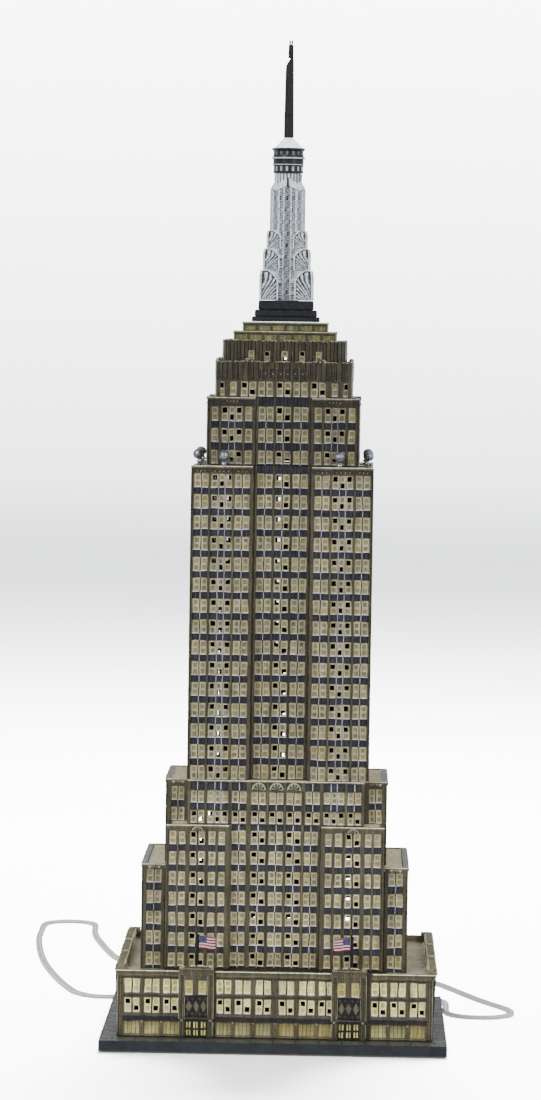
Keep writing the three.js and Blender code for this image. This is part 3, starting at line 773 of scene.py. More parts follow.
def build_shafts():
    """The main shaft and the shorter one on top of it, each with its roof."""
    shaft_blocks = [("pair", 42.3, 50.6), ("triple", 28.7, 40.8), ("pair", 18.6, 27.2)]
    upper_blocks = [("single", 38.7, 42.9), ("triple", 24.4, 36.9), ("single", 18.5, 22.9)]
    for name, rows, width, depth, low, top, blocks, seed, draft, stands_for in (
            ("shaft", SHAFT_ROWS, 104.6, 94, 155.8, 340.9, shaft_blocks, 1.0, -0.028,
             "tower_shaft_shell"),
            ("upper_shaft", UPPER_ROWS, 90.8, 82, 341.2, 381.2, upper_blocks, 2.3, 0.014,
             "upper_shaft_shell")):
        shape = drafted(depth / 2, draft)
        recess = depth / 2 - BAY_FROM_CENTRE[1]
        for turn, side in enumerate(("front", "rear")):
            wall = shaft_front(rows, width / 2, low, top, recess, blocks, name != "shaft",
                               seed + turn, name == "shaft" or side == "front")
            raise_wall(wall, f"{name}_{side}_wall", side, depth / 2, shape,
                       node_names=(stands_for,) if turn == 0 else ())
        for turn, side in enumerate(("left", "right")):
            wall = shaft_side(rows, depth / 2 - WALL, low, top, width / 2 - BAY_FROM_CENTRE[0],
                              seed + 4 + turn)
            raise_wall(wall, f"{name}_{side}_wall", side, width / 2, shape)
        ledge(name, width, depth, top, shape)


def ledge(name, width, depth, top, shape):
    """The roof of a shaft inside its walls, notched at the bays."""
    wide = depth > 90
    trim = 0 if wide else 1.5
    slab = Relief(-width / 2 + 3.4, width / 2 - 3.4, CENTRE_Y - 36.4 + trim,
                  CENTRE_Y + 36.4 - trim, ROOF, 2.0, seed=3.0)
    slab.add(-22, 22, *front_to_rear(22), 0, ROOF, True)
    if wide:
        for sx in (-1, 1):
            for sy in (-1, 1):
                x0, x1 = on_side(sx, 17.2, width / 2 - 3.4)
                y0, y1 = sorted((CENTRE_Y + sy * 36.8, CENTRE_Y + sy * (depth / 2 - 3.3)))
                corner = Relief(x0, x1, y0, y1, ROOF, 2.0, seed=4.0 + sx + 0.3 * sy)
                casting(corner.build(f"{name}_ledge_{'left' if sx < 0 else 'right'}_"
                                     f"{'front' if sy < 0 else 'rear'}", (0, 0, top - 0.5),
                                     *LEVEL, PORCELAIN, shape))
    casting(slab.build(f"{name}_roof", (0, 0, top - 0.5), *LEVEL, PORCELAIN, shape))


# ---------------------------------------------------------------- crown

CROWN_TOP = 401.7           # where the lower casting of the crown ends


def build_crown():
    """A scalloped storey with a folded crest, then three smaller ones."""
    shape = drafted(36.5)
    for turn, (side, reach, half) in enumerate((("front", 36.5, 40.75), ("rear", 36.5, 40.75),
                                                ("left", 40.75, 33.5), ("right", 40.75, 33.5))):
        wall = Relief(-half, half, 381.5, CROWN_TOP, PIER, seed=5.0 + turn)
        broad = half > 35
        pierced = side != "rear"
        groups = ([(-26, -16.5, CUT_PAIR), (-15.5, -6.5, UNCUT), (-4.5, 4.2, CUT_PAIR),
                   (5.5, 14.5, UNCUT), (16.1, 25, CUT_PAIR)] if broad else
                  [(-23, -14, UNCUT), (-13, -4.5, CUT_PAIR), (4.5, 13, CUT_PAIR),
                   (14, 23, UNCUT)])
        for u0, u1, cuts in groups:
            pair(wall, u0, u1, 390.7, 9.0, cuts if pierced or u0 < -20 else UNCUT, 0.6)
        edge = half - 2.3
        for s in (-1, 1):
            window(wall, *on_side(s, edge, edge - 2.9), 390.3, 8.2, "u" * pierced)
            if broad:
                window(wall, *on_side(s, 32.6, 28.6), 390.3, 8.2)
        crest(wall, half, 391.4, CROWN_TOP)
        raise_wall(wall, f"crown_lower_{side}_wall", side, reach, shape,
                   node_names=("crown_lower_shell",) if turn == 0 else ())
        scallops(f"crown_lower_{side}_crest", side, reach, half, CROWN_TOP, shape,
                 swell=(21.5, 4.6, 1.7))
    roof("crown_lower_roof", -37.6, 37.6, *front_to_rear(33.4), 401.6, shape,
         PIER_DARK, opening=38)
    tiers = [(73.4, 65, 402.0, 414.2), (61.2, 54, 414.2, 420.1), (50.7, 44, 420.1, 425.5)]
    for tier, (width, depth, low, top) in enumerate(tiers):
        shape = drafted(depth / 2)
        name = f"crown_upper_{'abc'[tier]}"
        for turn, side in enumerate(("front", "rear", "left", "right")):
            broad = turn < 2
            half = width / 2 if broad else depth / 2 - WALL
            reach = depth / 2 if broad else width / 2
            wall = Relief(-half, half, low, top, PIER, seed=8.0 + turn + tier)
            if tier == 0:
                fluted_tier(wall, half, low, top, side)
            else:
                attic(wall, half, low, top, 7 if tier == 1 else 6)
            raise_wall(wall, f"{name}_{side}_wall", side, reach, shape,
                       node_names=("crown_upper_shell",) if turn + tier == 0 else ())
            if tier == 0:
                scallops(f"{name}_{side}_crest", side, reach, half, top, shape, swell=None)
        inner = (width / 2 - 3.2, depth / 2 - 3.2)
        # The small roofs are painted in the highlight colour, a little darker.
        roof(f"{name}_roof", -inner[0], inner[0], *front_to_rear(inner[1]),
             top - 0.1, shape, EDGE_HIGHLIGHT * 0.8, 0.6, 0.3, 1.6, 22)


def crest(wall, half, low, top):
    """Vertical folds above the crown's windows, with a row of light studs."""
    count = int(half * 2 / 3.1)
    for k in range(count):
        u = -half + (k + 0.5) * 2 * half / count
        deep = 0.35 * math.sin(k * 1.9)
        tone = (PIER_DARK, PIER * 0.8, PIER)[k % 3]
        wall.rib(u, 0.75, low, top, deep, tone)
        # A groove painted darker as shade beside each fold.
        wall.add(u - 1.55, u - 1.15, low, top, -0.55, PIER_DARK * 0.8)
    wall.add(-14.6, 14.6, 392.6, 397.6, -0.5, PIER_DARK)
    dots(wall, -13.5, 13.5, 395.1, 6, -0.5, 0.32)
    for k in range(7):
        u = -13.8 + k * 4.6
        wall.rib(u, 0.35, 391.8, 399, 0.15, PIER_LIGHT)


def scallops(name, side, reach, half, top, shape, swell, offset=(0, 0, 0), wave=0.55):
    """A wavy glazed edge that sits along the top of a wall."""
    along, sign, axis = FACES[side]
    count, section = int(half * 7), 10
    points = []
    for k in range(count + 1):
        u = -half + 2 * half * k / count
        lift = wave * (0.7 * abs(math.sin(u * 0.5)) + 0.2 * math.sin(u * 1.9))
        if swell:
            for centre in (-swell[0], swell[0]):
                lift += swell[2] * max(0.0, 1 - ((u - centre) / swell[1]) ** 2)
        for j in range(section):
            angle = 2 * math.pi * j / section
            depth = -1.2 + 1.5 * math.cos(angle)
            z = top + 0.05 + lift * 0.5 + (0.4 + lift * 0.5) * math.sin(angle)
            point = np.array([0.0, CENTRE_Y, z])
            point[axis] += sign * (reach + depth)
            points.append(point + u * np.array(along) + np.array(offset, float))
    faces = grid_faces(count + 1, section).tolist()
    faces += [[(k + 1) * section - 1, (k + 2) * section - 1, (k + 1) * section, k * section]
              for k in range(count)]
    faces += [list(range(section)), [count * section + j for j in range(section - 1, -1, -1)]]
    tone = []
    for i in range(len(faces)):
        k, j = divmod(i, section - 1)
        # Highlights are painted on the upper side of the edge, here and there along it.
        glinting = math.sin(k * 0.31) + math.sin(k * 0.13 + 2) > -0.5
        tone.append(EDGE_HIGHLIGHT * 0.7 if j in (1, 2) and glinting else PIER * 0.9)
    tone = np.array(tone) * TONES.get(name.split("_")[0], 1.0) ** 0.5
    casting(mesh_object(name, shape(np.array(points)), faces, PORCELAIN, tone, True))


def fluted_tier(wall, half, low, top, side):
    """The crown's third storey: narrow folds with a few single windows."""
    flutes = int(half / 1.05)
    for k in range(flutes):
        u = -half + (k + 0.5) * 2 * half / flutes
        tone = (PIER * 0.8, PIER_DARK, PIER)[k % 3]
        wall.rib(u, 0.55, low, top, 0.3 * math.sin(k * 1.3), tone)
        # A groove painted darker as shade beside each flute.
        wall.add(u + 0.55, u + 0.85, low, top, -0.6, PIER_DARK * 0.7)
    places = (-20, -10.5, 0, 10.5, 20.5) if side in ("front", "rear") else (-14, 0, 14)
    pierced = {"front": ("", "u", "l", "u", ""), "rear": ("", "", "l", "", "")}.get(side, [""] * 3)
    for k, u in enumerate(places):
        window(wall, u - 1.8, u + 1.8, 408.8, 6.8, pierced[k], 0.0)


def attic(wall, half, low, top, groups):
    """A low storey with olive window groups under a bright edge."""
    high = top - 2.0
    for k in range(groups):
        u = -half + (k + 0.5) * 2 * half / groups
        reach = half / groups - 0.9
        wall.rib(u, reach, low + 0.6, high, -0.5, PANES[0] * 0.95)
        for s in (-1, 1):
            wall.add(u + s * reach * 0.5 - reach * 0.3, u + s * reach * 0.5 + reach * 0.3,
                     low + 1.1, high - 0.7, -0.85, PANES[(k + s) % 5] * 0.8)
    wall.belt(top - 1.6, top - 0.5, 0.2, PIER_DARK)
    coping(wall, -half, half, top, 0, 0.4)


# ---------------------------------------------------------------- lower tower

LOWER_ROWS = [(125.6 - 12.07 * k, 8.0) for k in range(7)]
WING_ROWS = [(101.8, 8), (89.4, 8), (77, 8), (65.1, 8), (52.7, 8)]
TOWER_FOOT, WING_TOP, BLOCK_TOP, HIGH_WING_TOP, MIDDLE_TOP = 42.6, 105, 129.4, 154.6, 155.5
BLOCK_HALF, MIDDLE_HALF = 64.3, 52.3    # half widths of the front blocks and the middle block


def lower_front(seed):
    """The broad front: two blocks of windows and a recessed centre."""
    wall = Relief(-BLOCK_HALF, BLOCK_HALF, TOWER_FOOT, BLOCK_TOP, PIER, bay=(26.8, 5.0), seed=seed)
    singles = [(-62.3, -58.2), (-56.7, -52.9), (-39.3, -35.2), (-33.4, -29.6)]
    centre = [(-25.7, -17.5, UNCUT), (-14.5, -5.9, CUT_PAIR), (-3.9, 4.4, UNCUT),
              (6.2, 15.0, CUT_PAIR), (16.9, 24.9, UNCUT)]
    for k, (row_top, height, below) in enumerate(storeys(LOWER_ROWS, TOWER_FOOT)):
        # The lowest row, just above the podium's roof, is painted darker as shade: its windows and
        # its mullion lines.
        dark = 0.62 if k == 6 else 1.0
        wall.shade = 0.78 if k == 6 else 1.0
        for side in (1, -1):
            for u0, u1 in singles:
                a, b = on_side(side, u0, u1)
                window(wall, a, b, row_top, height)
                spandrel(wall, a, b, below, row_top - height, 0, 1)
            a, b = on_side(side, -50.2, -41.4)
            pair(wall, a, b, row_top, height, CUT_PAIR, 1.1)
            spandrel(wall, a, (a + b) / 2 - 0.5, below, row_top - height, 0, 1)
            spandrel(wall, (a + b) / 2 + 0.5, b, below, row_top - height, 0, 1)
        for u0, u1, cuts in centre:
            pair(wall, u0, u1, row_top, height, cuts, 0.6, -5.0)
            spandrel(wall, u0, u1, below, row_top - height, -5.0, 3, ((u0 + u1) / 2,), dark)
        if k == 0:
            for u0, u1, _ in centre:
                spandrel(wall, u0, u1, row_top, BLOCK_TOP, -5.0, 3, ((u0 + u1) / 2,), 1.0)
    # A band painted dark as shade along the foot of the tower.
    wall.belt(TOWER_FOOT, 44.4, -0.4, PIER_DARK * 0.5)
    wall.add(-26.8, 26.8, TOWER_FOOT, 44.4, -5.4, PIER_DARK * 0.5)
    piers(wall, (-26.3, -16, -4.9, 5.3, 16, 25.9), 44.4, BLOCK_TOP, 0.9, -5.0, 0.25)
    for s in (-1, 1):
        piers(wall, (s * 57.5, s * 51.5, s * 40.3, s * 34.3), 44.4, 127, 0.7)
        fan(wall, s * 45.8, 126.2, 128.4, 3.4)
        a, b = on_side(s, 27.2, BLOCK_HALF)
        coping(wall, a, b, BLOCK_TOP)
        wall.add(*on_side(s, 63.3, 63.0), 44.4, 127, -0.3, PIER_DARK)
    return wall


def middle_front(seed):
    """The two storeys between the front blocks and the main shaft, with a fan over each bay."""
    wall = Relief(-MIDDLE_HALF, MIDDLE_HALF, BLOCK_TOP, MIDDLE_TOP, PIER, seed=seed)
    groups = [("pair", -50.3, -42.3), ("triple", -40.5, -28.2), ("pair", -25.9, -17.5)]
    for s in (-1, 1):
        for kind, u0, u1 in groups:
            a, b = on_side(s, u0, u1)
            for low, high in ((149.8, 155.0), (138.1, 141.8)):
                spandrel(wall, a, b, low, high, 0, 2, mullion_lines(kind, a, b), 0.9)
            if kind == "pair":
                pair(wall, a, b, 149.2, 7.2)
                pair(wall, a, b, 137.4, 7.4, CUT_PAIR)
            else:
                triple(wall, a, b, 149.2, 7.2, ("", "", ""))
                triple(wall, a, b, 137.4, 7.4)
    for u0, u1 in ((-14.5, -5.9), (-3.9, 4.4), (6.2, 15.0)):
        pair(wall, u0, u1, 148.6, 7.2)
        pair(wall, u0, u1, 137.4, 7.4, CUT_PAIR)
        spandrel(wall, u0, u1, 138.1, 141.2, 0, 3, ((u0 + u1) / 2,), 0.9)
        fan(wall, (u0 + u1) / 2, 150.4, 154.4, 4.2)
    piers(wall, (-51.4, -41.4, -27, -16, -4.9, 5.3, 16, 27, 41.4, 51.4), BLOCK_TOP, 149.6, 0.9)
    coping(wall, -MIDDLE_HALF, MIDDLE_HALF, MIDDLE_TOP, 0, 0.5)
    return wall


def wing_wall(half, low, top, rows, pairs, seed, ornament=True, cut_every=0):
    """A wing's face: rows of window pairs with dark panels between."""
    wall = Relief(-half, half, low, top, PIER, seed=seed)
    for row_top, height, below in storeys(rows, low):
        for i, (u0, u1) in enumerate(pairs):
            cuts = CUT_PAIR if cut_every and i % cut_every == 1 else UNCUT
            pair(wall, u0, u1, row_top, height, cuts)
            spandrel(wall, u0, u1, max(below, row_top - height - 4.2), row_top - height, 0, 2,
                     ((u0 + u1) / 2,))
    if ornament:
        for u0, u1 in pairs:
            fan(wall, (u0 + u1) / 2, top - 2.7, top - 1.3, 3.2)
    for s in (-1, 1):
        wall.add(*on_side(s, half - 1.0, half - 0.7), low, top - 1.6, -0.3, PIER_DARK)
    coping(wall, -half, half, top)
    return wall


def build_lower_tower():
    """Front blocks, middle block and wings, with the returns and roofs between their planes."""
    shape = drafted(54, 0.0, -0.9)
    for turn, side in enumerate(("front", "rear")):
        raise_wall(lower_front(3.1 + turn), f"lower_{side}_wall", side, 54, shape,
                   node_names=("lower_tower_shell",) if turn == 0 else ())
        raise_wall(middle_front(6.1 + turn), f"middle_{side}_wall", side, 49, shape)
    for sx, name in ((-1, "left"), (1, "right")):
        # Outer wings, then the higher inner wings.
        pairs = columns_between(-43, 43, 8.0, 10.4)
        raise_wall(wing_wall(44, TOWER_FOOT, WING_TOP, WING_ROWS, pairs, 7.7 + sx, cut_every=3),
                   f"wing_{name}_wall", name, 78.8, shape)
        high_rows = [(150.1, 8.4), (137.6, 8), (125.4, 8), (113.2, 8)]
        pairs = columns_between(-32, 32, 8.0, 10.4)
        raise_wall(wing_wall(33, WING_TOP, HIGH_WING_TOP, high_rows, pairs, 9.7 + sx, cut_every=3),
                   f"high_wing_{name}_wall", name, 65.7, shape)
        for turn, side in enumerate(("front", "rear")):
            flip = 1 if side == "front" else -1
            raise_wall(wing_wall(7.4, TOWER_FOOT, WING_TOP, WING_ROWS, [(-4.3, 4.3)],
                                 4.4 + turn + sx),
                       f"wing_{name}_{side}_wall", side, 47, shape, (sx * 71.4, 0, 0))
            raise_wall(wing_wall(7.1, WING_TOP, HIGH_WING_TOP, high_rows[:2], [(-3.6, 4.0)],
                                 2.4 + turn + sx),
                       f"high_wing_{name}_{side}_wall", side, 36, shape, (sx * 58.6, 0, 0))
            # Returns between the planes: plain walls with one column of windows.
            for label, x, y0, y1, low, top in (
                    ("foot_return", BLOCK_HALF, 44.5, 50.9, TOWER_FOOT, WING_TOP),
                    ("return", BLOCK_HALF, 36.2, 50.8, WING_TOP, BLOCK_TOP),
                    ("attic_return", MIDDLE_HALF, 36.2, 45.8, BLOCK_TOP, MIDDLE_TOP)):
                half = (y1 - y0) / 2
                rows = [] if label == "foot_return" else [(top - 3.8, 8.0), (top - 16, 7.6)]
                wall = wing_wall(half, low, top, rows, [(-2.9, 2.9)], 1.4 + turn + sx, False)
                raise_wall(wall, f"{label}_{name}_{side}_wall", name, x, shape,
                           (0, -flip * (y0 + y1) / 2, 0))
            x0, x1 = on_side(sx, 27.0, 64.2)
            y0, y1 = sorted((CENTRE_Y - flip * 36.1, CENTRE_Y - flip * 50.9))
            roof(f"block_{name}_{side}_roof", x0, x1, y0, y1, 129.2, shape)
        x0, x1 = on_side(sx, 60, 75.2)
        roof(f"wing_{name}_roof", x0, x1, *front_to_rear(46.9), 104.8, shape)
        x0, x1 = on_side(sx, 49.3, 62.6)
        roof(f"high_wing_{name}_roof", x0, x1, *front_to_rear(35.9), 154.4, shape)
    roof("middle_roof", -49.2, 49.2, *front_to_rear(45.9), 155.3, shape, opening=50)


# ---------------------------------------------------------------- podium

PODIUM_FOOT, PODIUM_TOP = 7.3, 46.5
PAVILION_X = 45.3           # how far the entrances, and the flags over them, are from the middle
PODIUM_HALF, PODIUM_DEEP = 92.5, 78     # half of its width and of its depth
PODIUM_PAIRS = [(-88.2, -79.4), (-76.5, -67.8), (-65.4, -56.7), (-34.0, -25.8), (-23.3, -14.3),
                (-11.1, -2.4)]


def shop_floor(wall, u0, u1):
    """A shop window with a few upright bars, brighter towards its foot."""
    wall.add(u0, u1, 8.6, 16.6, -0.9, PIER_LIGHT * 0.9)
    tone = random_paint.choice(SHOPS)
    count = 4                   # panes between the bars
    for k in range(count):
        a = u0 + (u1 - u0) * k / count + 0.15
        b = u0 + (u1 - u0) * (k + 1) / count - 0.15
        shade = tone * random_paint.uniform(0.82, 1.12)
        for step, bright in enumerate((1.3, 1.05, 0.8)):
            wall.add(a, b, 9.0 + 2.45 * step, 11.45 + 2.45 * step, -1.15, shade * bright)
    wall.add(u0 - 0.3, u1 + 0.3, 8.0, 8.7, 0.1, PIER_LIGHT)


def podium_face(half, pairs, seed, gaps=()):
    """One side of the podium: two floors of windows over a dark belt and shop windows."""
    wall = Relief(-half, half, PODIUM_FOOT, PODIUM_TOP, PIER, seed=seed)
    wall.belt(PODIUM_FOOT, 8.0, 0.2, PIER_DARK * 0.7)
    wall.belt(31.0, 32.2, 0.25, PIER_DARK)
    wall.belt(41.9, 42.6, -0.3, PIER_DARK)
    wall.belt(43.4, 44.0, 0.25, PIER_LIGHT)
    for u0, u1 in pairs:
        tint = CREAM * 0.86 if random_paint.random() < 0.6 else BUTTER
        pair(wall, u0, u1, 41.4, 8.1, UNCUT, 0.8, 0, depth=-0.6, rim=CREAM, tint=tint)
        pair(wall, u0, u1, 30.3, 8.7, CUT_PAIR, 0.8, 0, depth=-0.6, rim=CREAM, tint=tint)
        shop_floor(wall, u0 - 0.2, u1 + 0.2)
    edges = sorted(x for p in pairs for x in p)
    for a, b in zip(edges[1:-1:2], edges[2::2]):
        if b - a < 8:
            middle = (a + b) / 2
            wall.rib(middle, 0.8, 8.0, 16.8, 0.4, PIER_LIGHT)
            wall.rib(middle, 0.35, 8.0, 31.0, 0.55, PIER)
            wall.rib(middle, 0.4, 15.8, 16.6, 0.7, DOT * 0.6)
    wall.belt(17.0, 19.5, 0.4, BELT)
    wall.belt(18.9, 19.3, 0.75, BELT * 2.6)
    # The top edge of the parapet is painted bright as a highlight.
    wall.belt(45.9, PODIUM_TOP, 0.45, EDGE_HIGHLIGHT * 1.2)
    for s in (-1, 1):
        for k in range(3):
            u = s * (half - 0.8 - k * 1.0)
            wall.rib(u, 0.28, 8.0, 44.0, 0.4, PIER_LIGHT if k % 2 else PIER)
        # A line painted light as a highlight down each corner.
        wall.add(*on_side(s, half - 0.3, half), 9.0, 45.5, 0.3, EDGE_HIGHLIGHT * 0.5)
    for u, wide in gaps:
        wall.rib(u, wide, PODIUM_FOOT, PODIUM_TOP, -0.2, PIER_DARK)
    return wall


def podium_cast(world):
    """The podium sits a little to the right, and its parapet is a little wider than its walls."""
    drafted(PODIUM_DEEP, 0.003, 0.7)(world)
    rise = np.clip((world[:, 2] - 42.5) / 3.5, 0, 1)
    world[:, 0] += rise * (0.018 * world[:, 0] + 0.4)
    return world


def build_podium():
    """Four walls, a parapet with raised steps and corner posts, and a roof."""
    front_pairs = PODIUM_PAIRS + [(-b, -a) for a, b in reversed(PODIUM_PAIRS)]
    rear_pairs = [p for p in front_pairs if abs(sum(p) / 2) > 14]
    raise_wall(podium_face(PODIUM_HALF, front_pairs, 1.7,
                           ((-PAVILION_X, 10.4), (PAVILION_X, 10.4))),
               "podium_front_wall", "front", PODIUM_DEEP, podium_cast, node_names=("podium_shell",))
    rear = podium_face(PODIUM_HALF, [(-b, -a) for a, b in rear_pairs], 2.7)
    rear.add(-17, 17, PODIUM_FOOT, 41.5, 0.0, PIER)
    for k in range(-7, 8):
        half = math.sqrt(max(0.0, 12.7 ** 2 - (abs(k) * 1.7 - (0.85 if k else 0)) ** 2))
        if half > 1:
            rear.add(k * 1.7 - 0.85, k * 1.7 + 0.85, 25 - half, 25 + half, -0.2, PIER_DARK, True)
    raise_wall(rear, "podium_rear_wall", "rear", PODIUM_DEEP, podium_cast)
    side_pairs = columns_between(-73, 73, 8.6, 11.9)
    for turn, (side, sign) in enumerate((("left", -1), ("right", 1))):
        raise_wall(podium_face(75, side_pairs, 3.7 + turn), f"podium_{side}_wall", side,
                   PODIUM_HALF, podium_cast)
        # Raised lengths of parapet, higher towards the back, with a knob at each step; their rims
        # and knobs are painted light as highlights.
        for k, (y0, y1, top) in enumerate(((-70, -12, 46.9), (-12, 30, 47.7), (30, 71, 48.5))):
            cap = Relief(y0, y1, -2.5, 2.5, EDGE_HIGHLIGHT * 0.7, top - 45.4, seed=1.0 + k).split(0)
            cap.add(y0 + 0.6, y1 - 0.6, -1.9, 1.9, 0.25, PIER_LIGHT * 1.1)
            cap.add(y1 - 3.4, y1 - 1.2, -1.5, 1.5, 0.9, EDGE_HIGHLIGHT * 0.6)
            casting(cap.build(f"podium_{side}_step_{'abc'[k]}", (sign * 90.3, CENTRE_Y, top),
                              (0, 1, 0), (-1, 0, 0), ROOF_GLAZE, podium_cast))
    roof("podium_roof", -89.4, 89.4, *front_to_rear(74.9), 42.9, podium_cast,
         TERRACE, 0.7, 0.6, 3.0, 92)
    for sx, name in ((-1, "left"), (1, "right")):
        for sy, end in ((-1, "front"), (1, "rear")):
            # Each post's top has rings painted light as highlights.
            post = Relief(-3.4, 3.4, -3.4, 3.4, PIER_LIGHT * 1.4, 2.2, seed=sx + 2 * sy)
            post.add(-2.8, 2.8, -2.8, 2.8, -0.3, PIER)
            post.add(-1.6, 1.6, -1.6, 1.6, 0.3, EDGE_HIGHLIGHT * 0.6)
            post.add(-1.1, 1.1, -1.1, 1.1, 0.3, PIER)
            casting(post.build(f"podium_post_{name}_{end}",
                               (sx * 89.1, CENTRE_Y + sy * 74.6, 48.7), *LEVEL, ROOF_GLAZE,
                               podium_cast))


def build_pavilions():
    """The two entrances: a lattice over doors, between ribbed piers under a wavy crest."""
    for sx, name in ((-1, "left"), (1, "right")):
        wall = Relief(-10.2, 10.2, 7.3, 48.3, PIER, 4.7, seed=3.3 + sx)
        for s in (-1, 1):
            for k in range(5):
                u = s * (6.9 + k * 0.78)
                wall.rib(u, 0.22, 8, 44.6, 0.45, PIER_LIGHT if k % 2 else PIER)
            # Thin lines painted light as highlights down the pilaster edges.
            wall.add(*on_side(s, 9.95, 10.2), 9, 46, 0.5, EDGE_HIGHLIGHT * 0.5)
            wall.add(*on_side(s, 6.6, 6.85), 18, 44, 0.5, EDGE_HIGHLIGHT * 0.4)
            wall.add(*on_side(s, 6.6, 10.2), 7.3, 8.6, 0.6, PIER_DARK)
            wall.add(*on_side(s, 6.6, 10.2), 17.0, 18.6, 0.6, BELT * 1.6)
            wall.add(*on_side(s, 7.6, 9.2), 17.2, 18.2, 0.8, DOT * 0.45)
            wall.add(*on_side(s, 6.6, 10.2), 44.4, 45.2, 0.6, PIER_LIGHT)
        for u0, u1 in ((-6.5, -2.1), (1.4, 5.9)):
            window(wall, u0, u1, 41.2, 8.4, depth=-0.6, rim=BUTTER * 1.1, tint=BUTTER * 0.9)
        lattice(wall)
        doors(wall)
        wall.add(-6.6, 6.6, 43.2, 47.3, -0.1, PIER)
        for k in range(9):
            u = -5.4 + k * 1.35
            wall.rib(u, 0.34, 43.9 + 0.3 * (k % 2), 46.4 - 0.4 * ((k + 1) % 3), 0.35,
                     PIER_LIGHT * 1.1)
        wall.add(-10.2, 10.2, 47.5, 48.3, 0.4, PIER_LIGHT * 1.3)
        shape = drafted(78, 0.0, -1.3 if sx > 0 else 0.0)
        scallops(f"pavilion_{name}_crest", "front", 79.8, 10.0, 48.1, shape, (0.0, 9.5, 0.7),
                 (sx * PAVILION_X, 0, 0), 0.15)
        casting(wall.build(f"pavilion_{name}", (sx * PAVILION_X, CENTRE_Y - 79.8, 0), (1, 0, 0),
                           (0, 0, 1), PORCELAIN, shape), f"entrance_pavilion_{name}")


def lattice(wall):
    """A black grille of tall diamonds between rows of small ones."""
    wall.add(-6.6, 6.6, 19.4, 32.2, -0.7, BLACK)
    for row, (v, half_u, half_v) in enumerate(((30.4, 1.15, 1.3), (25.8, 1.9, 3.3),
                                               (21.2, 1.15, 1.3))):
        for u in ((-4.3, 0.0, 4.3) if row == 1 else (-5.4, -2.15, 2.15, 5.4)):
            for k in range(-3, 4):
                wide = half_u * (1 - abs(k) / 4)
                high = half_v / 3.5
                wall.rib(u, wide, v + (k - 0.5) * high, v + (k + 0.5) * high, -1.1,
                         LATTICE_PANE * (1.0 if row == 1 else 0.45))
    for v in (19.5, 32.0):
        wall.add(-6.8, 6.8, v - 0.35, v + 0.35, 0.2, BLACK * 1.6)


def doors(wall):
    """Three pairs of glazed doors between dark posts."""
    wall.add(-6.4, 6.4, 7.3, 18.4, -1.2, BLACK)
    for u in (-4.3, 0.0, 4.3):
        for s in (-1, 1):
            for low, high in ((8.7, 11.9), (13.1, 16.5)):
                a, b = sorted((u + s * 0.32, u + s * 1.3))
                wall.add(a, b, low, high, -1.5, DOOR_PANE * random_paint.uniform(0.55, 0.85))
    for u in (-2.15, 2.15):
        wall.rib(u, 0.3, 7.3, 18.4, -0.8, BLACK * 1.5)


# ---------------------------------------------------------------- turned and swept pieces

def turned(name, profile, centre, material, axis=(0, 0, 1), count=48, paint=None, ripple=None,
           warp=None):
    """A solid of revolution; profile is (radius, height) from one end to the other."""
    rings = [(max(r, 0.001), z) for r, z in profile]
    angles = [2 * math.pi * k / count for k in range(count)]
    points = []
    for a in angles:
        for r, z in rings:
            out = r * (1 + (ripple(a, z) if ripple else 0))
            points.append((out * math.cos(a), out * math.sin(a), z))
    rotation = Vector((0, 0, 1)).rotation_difference(Vector(axis)).to_matrix()
    points = np.array(points) @ np.array(rotation).T + np.array(centre)
    if warp:
        points = warp(points)
    m = len(rings)
    faces = grid_faces(count, m, True)
    if paint:
        tones = [paint(angles[f[0] // m], (rings[f[0] % m][1] + rings[f[0] % m + 1][1]) / 2)
                 for f in faces.tolist()]
    faces = faces.tolist()
    faces += [[k * m for k in range(count - 1, -1, -1)], [k * m + m - 1 for k in range(count)]]
    tones = np.array(tones + [tones[0], tones[-1]]) if paint else None
    return smooth_under(mesh_object(name, points, faces, material, tones), 38)


def corner_arc(before, here, after, radius, fractions):
    """Points on the curve that replaces a corner."""
    a, b = before - here, after - here
    la, lb = np.linalg.norm(a), np.linalg.norm(b)
    cut = min(radius, 0.45 * la, 0.45 * lb)
    start, end = here + a / la * cut, here + b / lb * cut
    return [tuple((1 - t) ** 2 * start + 2 * t * (1 - t) * here + t * t * end) for t in fractions]


def rounded(profile, radius=0.3, steps=3):
    """The same profile with its corners rounded."""
    points = [np.array(p, float) for p in profile]
    out = [tuple(points[0])]
    for before, here, after in zip(points, points[1:], points[2:]):
        out += corner_arc(before, here, after, radius, [s / steps for s in range(steps + 1)])
    out.append(tuple(points[-1]))
    return out


def spline(points, spacing):
    """A smooth centripetal curve through the points, at even spacing."""
    pts = np.array(points, float)
    pts = np.vstack([2 * pts[0] - pts[1], pts, 2 * pts[-1] - pts[-2]])
    dense = []
    for p0, p1, p2, p3 in zip(pts, pts[1:], pts[2:], pts[3:]):
        t0, t1 = 0.0, math.sqrt(np.linalg.norm(p1 - p0)) + 1e-9
        t2 = t1 + math.sqrt(np.linalg.norm(p2 - p1)) + 1e-9
        t3 = t2 + math.sqrt(np.linalg.norm(p3 - p2)) + 1e-9
        for t in np.linspace(t1, t2, 24, endpoint=False):
            a1 = (t1 - t) / (t1 - t0) * p0 + (t - t0) / (t1 - t0) * p1
            a2 = (t2 - t) / (t2 - t1) * p1 + (t - t1) / (t2 - t1) * p2
            a3 = (t3 - t) / (t3 - t2) * p2 + (t - t2) / (t3 - t2) * p3
            b1 = (t2 - t) / (t2 - t0) * a1 + (t - t0) / (t2 - t0) * a2
            b2 = (t3 - t) / (t3 - t1) * a2 + (t - t1) / (t3 - t1) * a3
            dense.append((t2 - t) / (t2 - t1) * b1 + (t - t1) / (t2 - t1) * b2)
    dense.append(pts[-2])
    dense = np.array(dense)
    run = np.concatenate([[0], np.cumsum(np.linalg.norm(np.diff(dense, axis=0), axis=1))])
    count = max(2, int(run[-1] / spacing))
    want = np.linspace(0, run[-1], count + 1)
    return np.stack([np.interp(want, run, dense[:, k]) for k in range(3)], 1), run[-1]


